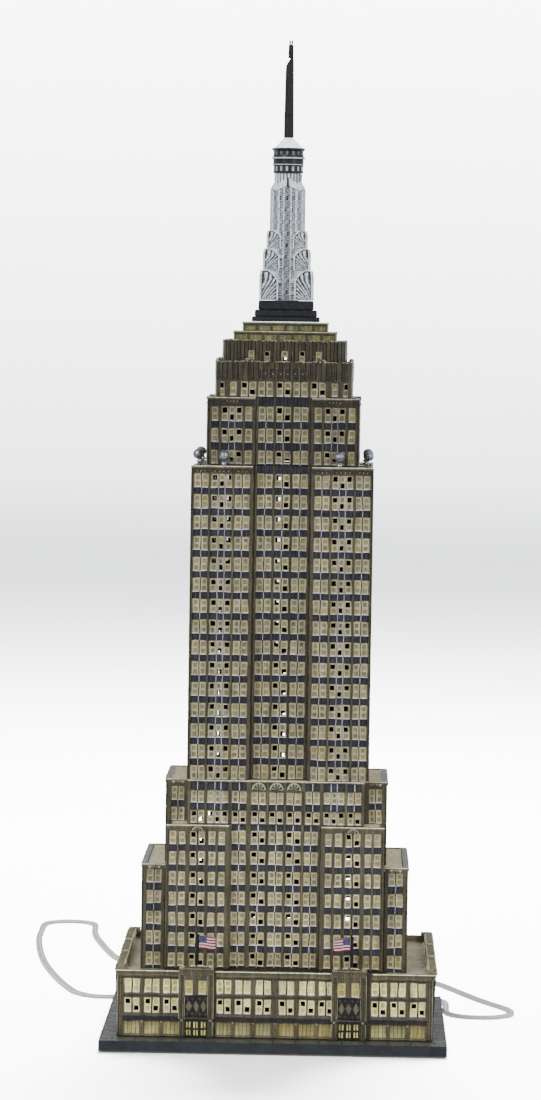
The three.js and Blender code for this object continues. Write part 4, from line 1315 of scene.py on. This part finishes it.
def swept(name, path, section, material, paint):
    """A section, as (sideways, upward) points, carried level along a path."""
    tangent = np.gradient(path, axis=0)
    tangent /= np.linalg.norm(tangent, axis=1)[:, None]
    side = np.cross(tangent, [0, 0, 1.0])
    lengths = np.linalg.norm(side, axis=1)
    for k in range(len(side)):
        if lengths[k] < 0.05:
            side[k] = side[k - 1]
    side /= np.linalg.norm(side, axis=1)[:, None]
    up = np.cross(side, tangent)
    ring = np.array(section, float)
    points = (path[:, None, :] + ring[None, :, :1] * side[:, None, :]
              + ring[None, :, 1:] * up[:, None, :]).reshape(-1, 3)
    count, m = len(path), len(ring)
    faces = tube_faces(count, m)
    faces += [list(range(m - 1, -1, -1)), [(count - 1) * m + j for j in range(m)]]
    return mesh_object(name, points, faces, material, paint, True)


# ---------------------------------------------------------------- mast

MAST_TIERS = [(16.0, 456.5), (14.1, 469.1), (12.1, 479.9)]


def wing_reach(z):
    """Half width of the mast's corner wings at a height, and how far up its own tier that is."""
    low = 438.4
    for reach, top in MAST_TIERS:
        if z < top:
            return reach, (z - low) / (top - low)
        low = top
    return 0.0, 1.0


def leaf_edge(rise):
    """Half the angle that a leaf spans: full at its foot, drawn in towards its tip."""
    return 0.50 - 0.34 * max(0.0, rise - 0.55) ** 2 / 0.2025


def mast_radius(angle, z):
    """The clear mast's outline: a fluted core with four stepped corner wings."""
    core = 10.2 if z < 504.5 else 10.2 - 2.2 * min(1.0, (z - 504.5) / 4.2)
    core *= 1 + 0.022 * math.cos(12 * angle) + 0.008 * math.cos(36 * angle)
    if z < 506:
        core -= 0.35 * (abs(math.sin(2 * angle)) < 0.12)
        core += 0.3 * (0.16 < abs(math.sin(2 * angle)) < 0.26)
    reach, rise = wing_reach(z)
    if reach == 0:
        return core
    fold = angle % (math.pi / 2)
    off = abs(fold - math.pi / 4)
    edge = leaf_edge(rise)
    if off > edge:
        return core
    outer = reach / max(math.cos(fold), math.sin(fold))
    outer -= 0.9 * max(0.0, rise - 0.8) / 0.2 * (off < edge)
    # Sunburst rays fan out from the foot of each leaf, inside a raised outline.
    ray = math.sin(34 * math.atan2(off + 0.05, rise * 0.8 + 0.25))
    rim = off > edge - 0.07
    carved = 0.42 * (ray > 0.25) if not rim else -0.15
    if 0.02 < off < 0.05:
        carved = 0.7
    return max(core, outer - carved)


# How bright each strip of the core is painted, by how far it lies from the middle of its side:
# partly frosted engraving, partly painted reflection of the bright background.
STRIPS = [(0.6, 0.03), (1.4, 0.16), (1.8, 0.04), (2.7, 1.0), (3.2, 0.05), (3.9, 0.2), (4.5, 0.03),
          (6.0, 1.0), (6.5, 0.08), (7.1, 0.28), (7.7, 0.04), (8.8, 0.8), (20.0, 0.08)]


def mast_paint(angle, z):
    """Engraved lines, frosted and with painted highlights and reflections: bright ridges, dark cuts
    and paler panels between them.
    """
    white, pale, dark = 1.0, 0.34, 0.04
    reach, rise = wing_reach(z)
    fold = angle % (math.pi / 2)
    off = abs(fold - math.pi / 4)
    edge = leaf_edge(rise)
    hatch = math.sin(z * 5.3 + 9 * math.sin(z * 0.9) + angle * 37) * math.sin(z * 2.1 - angle * 53)
    if reach and off < edge:
        if off > edge - 0.045 or rise > 0.965 or off < 0.02:
            return np.array([white * 0.97, white, 1.0])
        if off > edge - 0.085 or rise > 0.93 or 0.05 > off > 0.02:
            tone = dark
        else:
            bearing = math.atan2(off + 0.03, rise * 0.8 + 0.16)
            ray = math.sin(44 * bearing + 2 * math.sin(7 * rise)) + 0.6 * hatch
            tone = white if ray > 0.45 else dark if ray < -0.35 else pale
    else:
        across = 10.35 * abs(math.sin(min(fold, math.pi / 2 - fold)))
        tone = next(t for limit, t in STRIPS if across < limit)
        if tone < 0.5 and hatch > 0.25:
            tone = 0.7
        elif tone > 0.25 and hatch < -0.5:
            tone = 0.2
        chevron = z - 506.6 + 0.5 * across
        if 0 < chevron < 5:
            tone = dark if chevron < 0.5 or across < 0.8 else white
        elif chevron >= 5:
            tone = white if math.sin(24 * angle) > 0.2 else pale * 0.5
    return np.array([tone * 0.89, tone * 0.97, min(1.0, tone * 1.1)])


def build_mast():
    """The mast's clear body, from the spigot in its socket up to the lantern."""
    count = 372                 # columns of faces around it
    heights = np.concatenate([np.linspace(438.6, 481, 150), np.linspace(481.3, 513.8, 110)])
    angles = np.arange(count) * 2 * math.pi / count
    points = []
    for a in angles:
        for z in heights:
            r = mast_radius(a, z) if z < 509 else 8.1 * (1 + 0.02 * math.cos(24 * a))
            points.append((r * math.cos(a), CENTRE_Y + r * math.sin(a), z))
    m = len(heights)
    spigot = [(7.0, 438.55), (7.0, 430.2), (6.4, 429.7)]
    base = len(points)
    for r, z in spigot:
        points += [(r * math.cos(a), CENTRE_Y + r * math.sin(a), z) for a in angles]
    faces = grid_faces(count, m, True).tolist()
    for k in range(count):
        nxt = (k + 1) % count
        faces.append([k * m, base + k, base + nxt, nxt * m])
        for j in range(2):
            a, b = base + j * count, base + (j + 1) * count
            faces.append([a + k, b + k, b + nxt, a + nxt])
    faces += [[base + 2 * count + k for k in range(count - 1, -1, -1)],
              [k * m + m - 1 for k in range(count)]]
    steps = [(angles[f[0] // m] + math.pi / count, (heights[f[0] % m] + heights[f[0] % m + 1]) / 2)
             for f in faces[:count * (m - 1)]]
    paint = [mast_paint(a, z) for a, z in steps]
    paint += [np.array([0.7, 0.72, 0.75])] * (len(faces) - len(paint))
    made = mesh_object("mast_clear_body", points, faces, ACRYLIC, np.array(paint))
    place(made, "mast", "clear_acrylic", "mast_body")


def build_pedestal():
    """Three square steps with rounded corners."""
    steps = [(40.2, 425.8, 428.8), (36.9, 428.8, 432.8), (32.7, 432.8, 438.4)]
    profile = []
    for width, low, top in steps:
        half = width / 2
        profile += [(half - 0.5, low), (half, low + 0.45), (half - 0.15, top - 0.5),
                    (half - 0.6, top)]
    square, corner = [(1, -1), (1, 1), (-1, 1), (-1, -1)], 0.8
    ring = [[(sx * (r - corner) + corner * math.cos(t), sy * (r - corner) + corner * math.sin(t))
             for (sx, sy), start in zip(square, (-0.5, 0, 0.5, 1.0))
             for t in np.linspace(start * math.pi, (start + 0.5) * math.pi, 5)]
            for r, _ in profile]
    n = len(ring[0])
    points = [(x, CENTRE_Y + y, z) for (_, z), loop in zip(profile, ring) for x, y in loop]
    faces = tube_faces(len(profile), n)
    # The socket for the mast's spigot goes right through.
    bore = []
    for z in (438.4, 425.8):
        bore.append(len(points))
        points += [(7.3 * math.cos(t), CENTRE_Y + 7.3 * math.sin(t), z)
                   for t in (np.arange(n) - 2) * 2 * math.pi / n]
    last = (len(profile) - 1) * n
    for j in range(n):
        nxt = (j + 1) % n
        faces.append([last + j, last + nxt, bore[0] + nxt, bore[0] + j])
        faces.append([bore[0] + j, bore[0] + nxt, bore[1] + nxt, bore[1] + j])
        faces.append([bore[1] + j, bore[1] + nxt, nxt, j])
    place(mesh_object("mast_pedestal_steps", points, faces, BLACK_METAL), "building", "black_metal",
          "mast_pedestal")


def lantern_paint(angle, z):
    """Black, with silver lines around it and two rows of light windows."""
    light = math.cos(15 * angle) > 0.25
    if 515.4 < z < 518.2 and light:
        return linear(176, 184, 190)
    if 525.0 < z < 527.2 and light:
        return linear(120, 126, 134)
    if 519.0 < z < 519.5 or 522.9 < z < 523.4 or 528.6 < z:
        return linear(196, 202, 208)
    return linear(38, 39, 42)


def build_lantern():
    """What stands on the mast: lantern, clear cone, spire, tip and two prongs."""
    profile = [(4, 514.1), (8.6, 514.1), (9.0, 514.5), (9.0, 515.4), (8.75, 515.5), (8.75, 518.1),
               (9.0, 518.2), (9.0, 519.0), (9.5, 519.1), (9.5, 519.45), (9.1, 519.6), (9.1, 522.5),
               (10.2, 522.8), (10.2, 523.5), (9.3, 523.8), (9.1, 524.9), (8.9, 525.0), (8.9, 527.2),
               (9.1, 527.3), (9.9, 528.1), (9.9, 529.0), (9.7, 529.1), (4, 529.1)]
    place(turned("lantern_gallery", profile, (0, CENTRE_Y, 0), PAINTED_METAL, count=120,
                 paint=lantern_paint), "mast", "black_metal", "lantern")
    cone = [(3, 529.15), (8.0, 529.15), (8.0, 529.6), (2.9, 534.9), (2.0, 535.2), (1, 535.2)]
    place(turned("lantern_cone", cone, (0, CENTRE_Y, 0), CLEAR_CONE, count=64,
                 ripple=lambda a, z: 0.006 * math.cos(16 * a)), "mast", "clear_acrylic",
          "lantern_cap")
    spire = [(1, 535.3), (2.95, 535.3), (2.95, 536.2), (2.85, 545), (2.65, 560), (2.45, 575),
             (2.3, 582.2), (2.15, 582.4), (0.3, 582.4)]

    def slanted(points):
        """The spire's top is cut on a slant, low on the left."""
        top = points[:, 2] > 580
        points[top, 2] += 1.6 * np.minimum(0.0, points[top, 0] - 0.4)
        return points

    place(turned("antenna_spire", spire, (0, CENTRE_Y, 0), BLACK_METAL, count=32, warp=slanted),
          "mast", "black_metal", "antenna")
    whip = rounded([(0.4, 582.45), (1.6, 582.45), (1.55, 585), (1.5, 590.2), (0.5, 590.5)], 0.2)
    place(turned("antenna_tip", whip, (0.6, CENTRE_Y, 0), BLACK_METAL, count=24), "mast",
          "black_metal", "antenna_whip")
    for name, x, material, slot in (("left", -0.05, SILVER, "silver"),
                                    ("right", 1.2, BLACK_METAL, "black_metal")):
        prong = rounded([(0.15, 590.55), (0.55, 590.55), (0.5, 592.8), (0.2, 593.3)], 0.1)
        place(turned(f"antenna_fork_{name}", prong, (x, CENTRE_Y, 0), material, count=16), "mast",
              slot, f"antenna_prong_{name}")


# ---------------------------------------------------------------- floodlights, flags

def build_floodlights():
    """Two lamps on each side of the shaft's ledge, leaning outwards."""
    lean = 0.32                 # radians
    profile = [(0.2, 0), (1.9, 0), (2.0, 0.5), (1.7, 0.9), (1.3, 1.5), (1.2, 2.4), (1.55, 3.0)]
    profile += [(3.1 * math.cos(math.radians(t)), 5.3 + 3.1 * math.sin(math.radians(t)))
                for t in range(-46, 72, 8)]
    profile += [(0.95, 8.0), (0.9, 8.3), (0.1, 8.4)]
    for side, (dx, dy) in {"front": (0, -1), "rear": (0, 1), "left": (-1, 0),
                           "right": (1, 0)}.items():
        places = [("left", -34.5), ("right", 33.5)] if dx == 0 else [("front", -22), ("rear", 22)]
        for end, offset in places:
            x, y = (offset, dy * 44) if dx == 0 else (dx * 48.85, offset)
            name = f"floodlight_{side}_{end}"
            foot = (x, CENTRE_Y + y, 341.2 + math.sin(lean) * 1.9)
            axis = (dx * math.sin(lean), dy * math.sin(lean), math.cos(lean))
            lamp = turned(name + "_head", profile, foot, SILVER, axis, 40,
                          ripple=lambda a, z: 0.03 * (z > 3.2 and math.cos(10 * a) > 0.8))
            place(lamp, "building", "silver", name)


FLAG_Y = -66                # both flags stand on the podium's roof, behind the parapet


def build_flags():
    """Each flag is a thin waved sheet on a staff that turns in a foot on the roof."""
    blue, red, white = linear(30, 38, 96), linear(146, 34, 46), linear(206, 192, 196)
    for side, name in ((-1, "left"), (1, "right")):
        x0, away = side * PAVILION_X, -side
        across, down = 46, 36       # faces along the flag and down it
        points = []
        for k in range(across + 1):
            for j in range(down + 1):
                s, t = k / across, j / down
                x = x0 + away * (1.1 + 9.4 * s)
                z = 65.8 - 7.6 * t - 0.5 * s * s + 0.25 * math.sin(5.2 * s + 0.5)
                y = FLAG_Y + 0.55 * math.sin(6.5 * s + 1.2 * t) * s
                points.append((x, y, z))
        points = np.array(points)
        thick = np.array([0, 0.3, 0])
        layers = np.concatenate([points - thick, points + thick])
        n, m = across + 1, down + 1
        half = n * m
        front = grid_faces(n, m)
        if away > 0:
            front = front[:, ::-1]
        back = front[:, ::-1] + half
        tones = []
        for f in grid_faces(n, m).tolist():
            k, j = f[0] // m, f[0] % m
            if k < 0.45 * across and j < 5 * down // 9:
                star = k % 4 == 2 and (j + 2 * ((k // 4) % 2)) % 4 == 2
                tones.append(white if star else blue)
            else:
                tones.append(red if (j // 4) % 2 == 0 else white)
        rim = ([k * m for k in range(n)] + [(n - 1) * m + j for j in range(1, m)]
               + [k * m + m - 1 for k in range(n - 2, -1, -1)] + list(range(m - 2, 0, -1)))
        sides = []
        for a, b in zip(rim, rim[1:] + rim[:1]):
            sides.append([a, b, b + half, a + half] if away > 0 else [b, a, a + half, b + half])
        faces = front.tolist() + back.tolist() + sides
        paint = np.array(tones + tones + [white] * len(sides))
        made = mesh_object(f"flag_cloth_{name}", layers, faces, FLAG_PAINT, paint, True)
        body = f"{name}_flag"
        place(made, body, "flag_paint", f"flag_{name}")
        pole = rounded([(0.2, 40), (0.8, 40), (0.8, 44.9), (0.95, 45.2), (0.92, 65.6), (1.2, 66.0),
                        (1.1, 66.6), (0.3, 67)], 0.2)
        place(turned(f"flag_staff_{name}", pole, (x0, FLAG_Y, 0), BLACK_METAL, count=20), body,
              "black_metal", f"flag_pole_{name}")
        foot = rounded([(1.1, 42.6), (2.6, 42.6), (2.6, 43.6), (1.9, 44.8), (1.1, 44.8)], 0.25)
        made = turned(f"flag_foot_{name}", foot, (x0, FLAG_Y, 0), BLACK_METAL, count=28)
        place(made, "building", "black_metal", f"flag_base_{name}")


# ---------------------------------------------------------------- plinth

def build_plinth():
    """A slate slab with lines between its paving stones."""
    side_tone, top_tone = linear(34, 40, 46), linear(86, 86, 81)
    paver = 13.4
    top = Relief(-101.5, 101.5, -90, 90, side_tone, 6.0, seed=2.2, rough=0.6)
    top.add(-100.3, 100.3, -88.8, 88.8, 0.0, top_tone)
    for k in range(-7, 8):
        u = k * paver
        top.rib(u, 0.2, -88.8, -76, -0.3, top_tone * 0.45)
        top.rib(u, 0.2, 83, 88.8, -0.3, top_tone * 0.45)
    for k in range(-6, 7):
        v = k * paver
        for s in (-1, 1):
            top.add(*on_side(s, 94, 100.3), v - 0.2, v + 0.2, -0.3, top_tone * 0.45)
    for v in (-83, 86):
        top.add(-100.3, 100.3, v - 0.2, v + 0.2, -0.3, top_tone * 0.45)
    made = top.build("plinth_paving", (0, 0, 7.0), *LEVEL, SLATE)
    place(made, "building", "slate", "plinth")


# ---------------------------------------------------------------- lamp, cord and its fittings

FLAT = 1.25                 # centre line of the flat cord where it lies on the floor


def route(*points):
    """A path for the cord; a point with no height of its own lies on the floor."""
    return [(*p, FLAT)[:3] for p in points]


LEAD = route(
    (0, 108.3, 25), (0, 116, 24.6), (0, 126, 21.4), (0, 138, 13), (0, 150, 5.4), (0, 162),
    (-2, 174), (-9, 184.5), (-20, 190), (-33, 189), (-46, 180), (-60, 160), (-74, 136), (-86, 116),
    (-100, 103), (-115, 102.5), (-126.5, 114), (-134, 135), (-141.5, 163), (-151, 206),
    (-158.5, 250), (-164.5, 300), (-168, 345), (-168.6, 375), (-168.6, 402), (-166.2, 410.9),
    (-159.7, 417.4), (-150.8, 419.8), (-141.9, 417.4), (-135.4, 410.9), (-133, 402),
    (-131.8, 375), (-128.2, 345), (-123.4, 319), (-117.6, 290), (-109, 256), (-98, 234),
    (-84, 220.5, 2.6), (-70, 216.6, 4.6), (-58.3, 216, 6.3))
RUN = route(
    (-17.7, 216, 6.3), (-6, 216, 4.8), (6, 218, 2.6), (25, 224), (52, 222), (76, 208), (91, 191),
    (101, 175), (109, 157), (118, 134), (128, 110), (138, 90), (143, 79), (144.5, 67.5), (142, 58),
    (135, 51), (125, 48.5), (113.9, 51), (106.9, 58), (104.5, 68), (104.5, 98.6), (101.9, 108.1),
    (94.9, 115.1), (85.4, 117.6), (67.6, 117.6))


def coil_points():
    """Three and a quarter turns on the floor in two layers, then up into the plug."""
    points = []
    turns, steps = 3.25, 16
    for k in range(1, int(turns * steps)):
        turn = k / steps
        angle = -math.pi / 2 - 2 * math.pi * turn
        radius = 27.7 - 4.4 * eased(turn, 0.8, 0.4)
        radius += 4.4 * eased(turn, 2.0, 0.4)
        z = FLAT + 2.55 * eased(turn, 1.8, 0.3)
        points.append((50 + radius * math.cos(angle), 145.3 + radius * math.sin(angle), z))
    return points


def build_cord():
    """The flat cord from the lamp through the switch and the coil into the plug."""
    coil = coil_points()
    inside = [(x, 216, 6.3) for x in (-52, -44, -36, -28, -22)]
    end = [(22.35, 151, 4.4), (22.3, 157, 5.2), (22.3, 163.2, 5.8)]
    whole = [(0, 96, 25), *LEAD, *inside, *RUN[:-1], (60, 117.6, FLAT), *coil, *end]
    path, length = spline(whole, 1.6)
    # Two clear-covered cores side by side, joined by a thin web; the wire shows as a darker line.
    section, tones, core = [], [], 1.04
    for side in (1, -1):
        for k in range(12):
            angle = math.radians(-145 + k * 290 / 11 + (0 if side > 0 else 180))
            section.append((side * core + core * math.cos(angle), core * math.sin(angle)))
            wire = abs(math.sin(angle + math.radians(13))) > 0.8
            tones.append(linear(176, 166, 140) if wire else np.array([0.96, 0.95, 0.9]))
    paint = np.array(tones * (len(path) - 1) + [linear(160, 150, 130)] * 2)
    made = swept("cord_flat", path, section, CORD_VINYL, paint=paint)
    place(made, "lamp", "cord_vinyl", "cord_lead", "cord_run", "cord_coil")
    return made, path, length


def slab_outline(points, low, high, bevel):
    """Rings for an extruded outline with eased edges, from its lower face to its upper one."""
    outline = np.array(points, float)
    centre = outline.mean(0)
    rings = []
    for inset, z in ((bevel * 2.2, low), (bevel * 0.8, low + bevel * 0.25), (0, low + bevel),
                     (0, high - bevel), (bevel * 0.8, high - bevel * 0.25), (bevel * 2.2, high)):
        away = outline - centre
        scale = 1 - inset / np.linalg.norm(away, axis=1)[:, None]
        rings.append(np.column_stack([centre + away * scale, np.full(len(outline), z)]))
    return rings


def extruded(name, points, low, high, bevel, material):
    """A moulding of constant outline with eased edges."""
    rings = slab_outline(points, low, high, bevel)
    n = len(rings[0])
    faces = tube_faces(len(rings), n)
    faces += [list(range(n - 1, -1, -1)), [(len(rings) - 1) * n + j for j in range(n)]]
    return smooth_under(mesh_object(name, np.concatenate(rings), faces, material), 40)


def smooth_outline(points, steps=6, radius=3.0):
    """A closed outline with each corner rounded."""
    pts = [np.array(p, float) for p in points]
    return [point for k, here in enumerate(pts)
            for point in corner_arc(pts[k - 1], here, pts[(k + 1) % len(pts)], radius,
                                    np.linspace(0, 1, steps))]


def build_fittings():
    """The inline switch, its thumb wheel and the plug."""
    x, y, half = -38, 216, 7.5
    shell = [(x - 20, y - 3.2), (x - 14, y - half), (x + 14, y - half), (x + 20, y - 3.2),
             (x + 20, y + 3.2), (x + 14, y + half), (x - 14, y + half), (x - 20, y + 3.2)]
    outline = smooth_outline(shell)
    base = extruded("switch_lower_shell", outline, 0.3, 6.15, 1.0, WHITE_PLASTIC)
    cover = extruded("switch_upper_shell", outline, 6.45, 12.3, 1.6, WHITE_PLASTIC)
    place(base, "lamp", "white_plastic", "switch_base")
    place(cover, "lamp", "white_plastic", "switch_cover")
    wheel = turned("switch_thumb_wheel", rounded([(1, 4.4), (7.2, 4.4), (7.2, 8.2), (1, 8.2)], 0.4),
                   (x, 213.1, 0), WHITE_PLASTIC, count=144,
                   ripple=lambda a, z: 0.022 * (math.cos(36 * a) > 0) - 0.022)
    place(wheel, "thumb_wheel", "white_plastic", "switch_wheel")
    px, py = 22.3, 162.5
    right = [(2.6, 0), (3.6, 13), (9, 17), (11, 22), (11, 34)]
    body = [(px + a, py + b) for a, b in right]
    body += [(px + 10.2, py + 35), (px - 10.2, py + 35)]
    body += [(px - a, py + b) for a, b in reversed(right)]
    plug = extruded("plug_moulding", smooth_outline(body), 0.3, 11.3, 1.5, WHITE_PLASTIC)
    place(plug, "lamp", "white_plastic", "plug_body")
    return [base, cover, plug]


def build_strain_relief():
    """A ribbed sleeve where the cord leaves the lamp holder."""
    relief = rounded([(1, 87.3), (5.2, 87.3), (5.0, 91), (4.4, 92), (4.4, 93.2), (3.9, 93.4),
                      (3.9, 95.2), (4.1, 95.5), (4.0, 97.6), (3.6, 97.8), (3.6, 99.6), (3.8, 99.9),
                      (3.7, 101.8), (3.3, 102), (3.3, 103.8), (3.5, 104.1), (3.2, 107.6),
                      (2.6, 108)], 0.2)
    made = turned("strain_relief_ribbed", relief, (0, 0, 25), WHITE_PLASTIC, (0, 1, 0), 36)
    place(made, "lamp", "white_plastic", "strain_relief")
    return made


def finish_cad_nodes():
    """Inner parts keep their CAD shape and take a procedural finish."""
    finishes = {"lamp_holder": WHITE_PLASTIC, "bulb_cap": BRASS, "bulb_glass": BULB}
    for side in ("left", "right"):
        finishes |= {f"holder_spring_{side}": SPRING_STEEL, f"plug_blade_{side}": BRASS,
                     f"base_pad_front_{side}": FELT, f"base_pad_rear_{side}": FELT}
    for name, material in finishes.items():
        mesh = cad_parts[name].data
        mesh.materials.clear()
        mesh.materials.append(material)


# ---------------------------------------------------------------- camera, stage and light

def build_camera():
    """The camera fitted to the photograph's viewing angle."""
    yaw, pitch, roll = (math.radians(v) for v in (1.072, 3.318, 0.859))
    forward = Vector((-math.sin(yaw) * math.cos(pitch), math.cos(yaw) * math.cos(pitch),
                      -math.sin(pitch)))
    level = Vector((math.cos(yaw), math.sin(yaw), 0))
    above = level.cross(forward)
    right = level * math.cos(roll) + above * math.sin(roll)
    up = above * math.cos(roll) - level * math.sin(roll)
    data = bpy.data.cameras.new("photo_camera")
    data.sensor_fit = "VERTICAL"
    data.sensor_height = 36
    data.lens = 137.29
    data.clip_end = 20
    camera = bpy.data.objects.new("photo_camera", data)
    bpy.context.scene.collection.objects.link(camera)
    turn = Matrix((right, up, -forward)).transposed().to_4x4()
    camera.matrix_world = Matrix.Translation(Vector((39.75, -2507.2, 434.6)) * MM) @ turn
    bpy.context.scene.camera = camera


def area_light(name, place_at, target, size, power):
    """A soft light aimed at a point; places and sizes are in metres."""
    data = bpy.data.lights.new(name, "AREA")
    data.shape = "RECTANGLE"
    data.size, data.size_y = size
    data.energy = power
    lamp = bpy.data.objects.new(name, data)
    bpy.context.scene.collection.objects.link(lamp)
    aim = Vector(target) - Vector(place_at)
    lamp.matrix_world = (Matrix.Translation(Vector(place_at))
                         @ aim.to_track_quat("-Z", "Y").to_matrix().to_4x4())
    lamp.visible_camera = False
    return lamp


def build_stage():
    """A round sweep of pale paper with its own wash of light, and softer light for the model."""
    material = finish("pale_paper", mottled((0.84, 0.85, 0.86), (0.80, 0.81, 0.83), 3), 0.8)
    tree = material.node_tree
    shader = tree.nodes["Principled BSDF"]
    place_on = node(tree, "ShaderNodeTexCoord").outputs["Object"]
    height = node(tree, "ShaderNodeSeparateXYZ", {"Vector": place_on}).outputs["Z"]
    flat = node(tree, "ShaderNodeVectorMath", {0: place_on, 1: (1, 1, 0)},
                operation="MULTIPLY").outputs["Vector"]
    reach = node(tree, "ShaderNodeVectorMath", {0: flat}, operation="LENGTH").outputs["Value"]
    # The paper glows more the higher and the farther out it is, where the lamps don't reach it.
    far = node(tree, "ShaderNodeMapRange", {"Value": reach, "From Min": 2.1, "From Max": 8.0,
                                            "To Min": 0.0, "To Max": 3.2}).outputs["Result"]
    glow = node(tree, "ShaderNodeMath", {0: height, 1: 3.8, 2: far},
                operation="MULTIPLY_ADD").outputs["Value"]
    tree.links.new(glow, shader.inputs["Emission Strength"])
    shader.inputs["Emission Color"].default_value = (0.95, 0.97, 1.0, 1)
    # In metres: flat as far as any view's camera stands, then curved up into a round wall.
    flat_to, curve, wall_top = 8.0, 1.2, 6.0
    profile = [(r, 0.0) for r in (0.02, 0.5, 1.2, 2.4, 4.0, 6.0, flat_to)]
    profile += [(flat_to + curve * math.sin(t), curve - curve * math.cos(t))
                for t in np.linspace(0.1, math.pi / 2, 14)]
    profile += [(flat_to + curve, wall_top)]
    count, n = 96, len(profile)
    points = [(r * math.cos(a), r * math.sin(a), z) for a in np.arange(count) * 2 * math.pi / count
              for r, z in profile]
    faces = grid_faces(count, n, True)[:, ::-1].tolist() + [[k * n for k in range(count)]]
    mesh = bpy.data.meshes.new("floor_sweep")
    mesh.from_pydata(points, [], faces)
    mesh.materials.append(material)
    mesh.polygons.foreach_set("use_smooth", [True] * len(faces))
    floor = bpy.data.objects.new("floor_sweep", mesh)
    bpy.context.scene.collection.objects.link(floor)
    floor.visible_diffuse = False
    floor.visible_glossy = False
    floor.visible_transmission = False
    receivers = bpy.data.collections.new("paper_only")
    receivers.objects.link(floor)
    world = bpy.data.worlds.new("studio")
    world.use_nodes = True
    tree = world.node_tree
    around = node(tree, "ShaderNodeTexCoord").outputs["Generated"]
    bands = node(tree, "ShaderNodeTexWave", {"Vector": around, "Scale": 1.1, "Distortion": 1.5,
                                             "Detail": 1.0}, bands_direction="X").outputs["Fac"]
    tone = ramp(tree, bands, (0.25, (0.30, 0.31, 0.33)), (0.75, (1.0, 1.03, 1.08)))
    background = tree.nodes["Background"]
    tree.links.new(tone, background.inputs["Color"])
    depth = node(tree, "ShaderNodeSeparateXYZ", {"Vector": around}).outputs["Y"]
    strength = node(tree, "ShaderNodeMapRange", {"Value": depth, "From Min": 0.0, "From Max": 0.5,
                                                 "To Min": 0.85, "To Max": 1.7}).outputs["Result"]
    tree.links.new(strength, background.inputs["Strength"])
    bpy.context.scene.world = world
    key = area_light("key", (-1.3, -2.1, 1.5), (0, 0, 0.05), (1.4, 1.4), 8)
    key.data.spread = math.radians(70)
    area_light("fill", (1.9, -1.8, 1.4), (0, 0, 0.2), (1.4, 1.8), 32)
    for name, spot, size, power in (("paper_wash", (0.2, 0.2, 3.0), 3.6, 240),
                                    ("paper_back_wash", (0.1, 1.2, 2.2), 0.9, 800)):
        wash = area_light(name, spot, (0, 0, 0), (size, size), power)
        wash.light_linking.receiver_collection = receivers


# ---------------------------------------------------------------- assembly

build_camera()
build_stage()
cord, cord_path, cord_length = build_cord()
fittings = build_fittings()
relief_piece = build_strain_relief()
finish_cad_nodes()
build_plinth()
build_podium()
build_pavilions()
build_lower_tower()
build_shafts()
build_crown()
build_mast()
build_pedestal()
build_lantern()
build_floodlights()
build_flags()
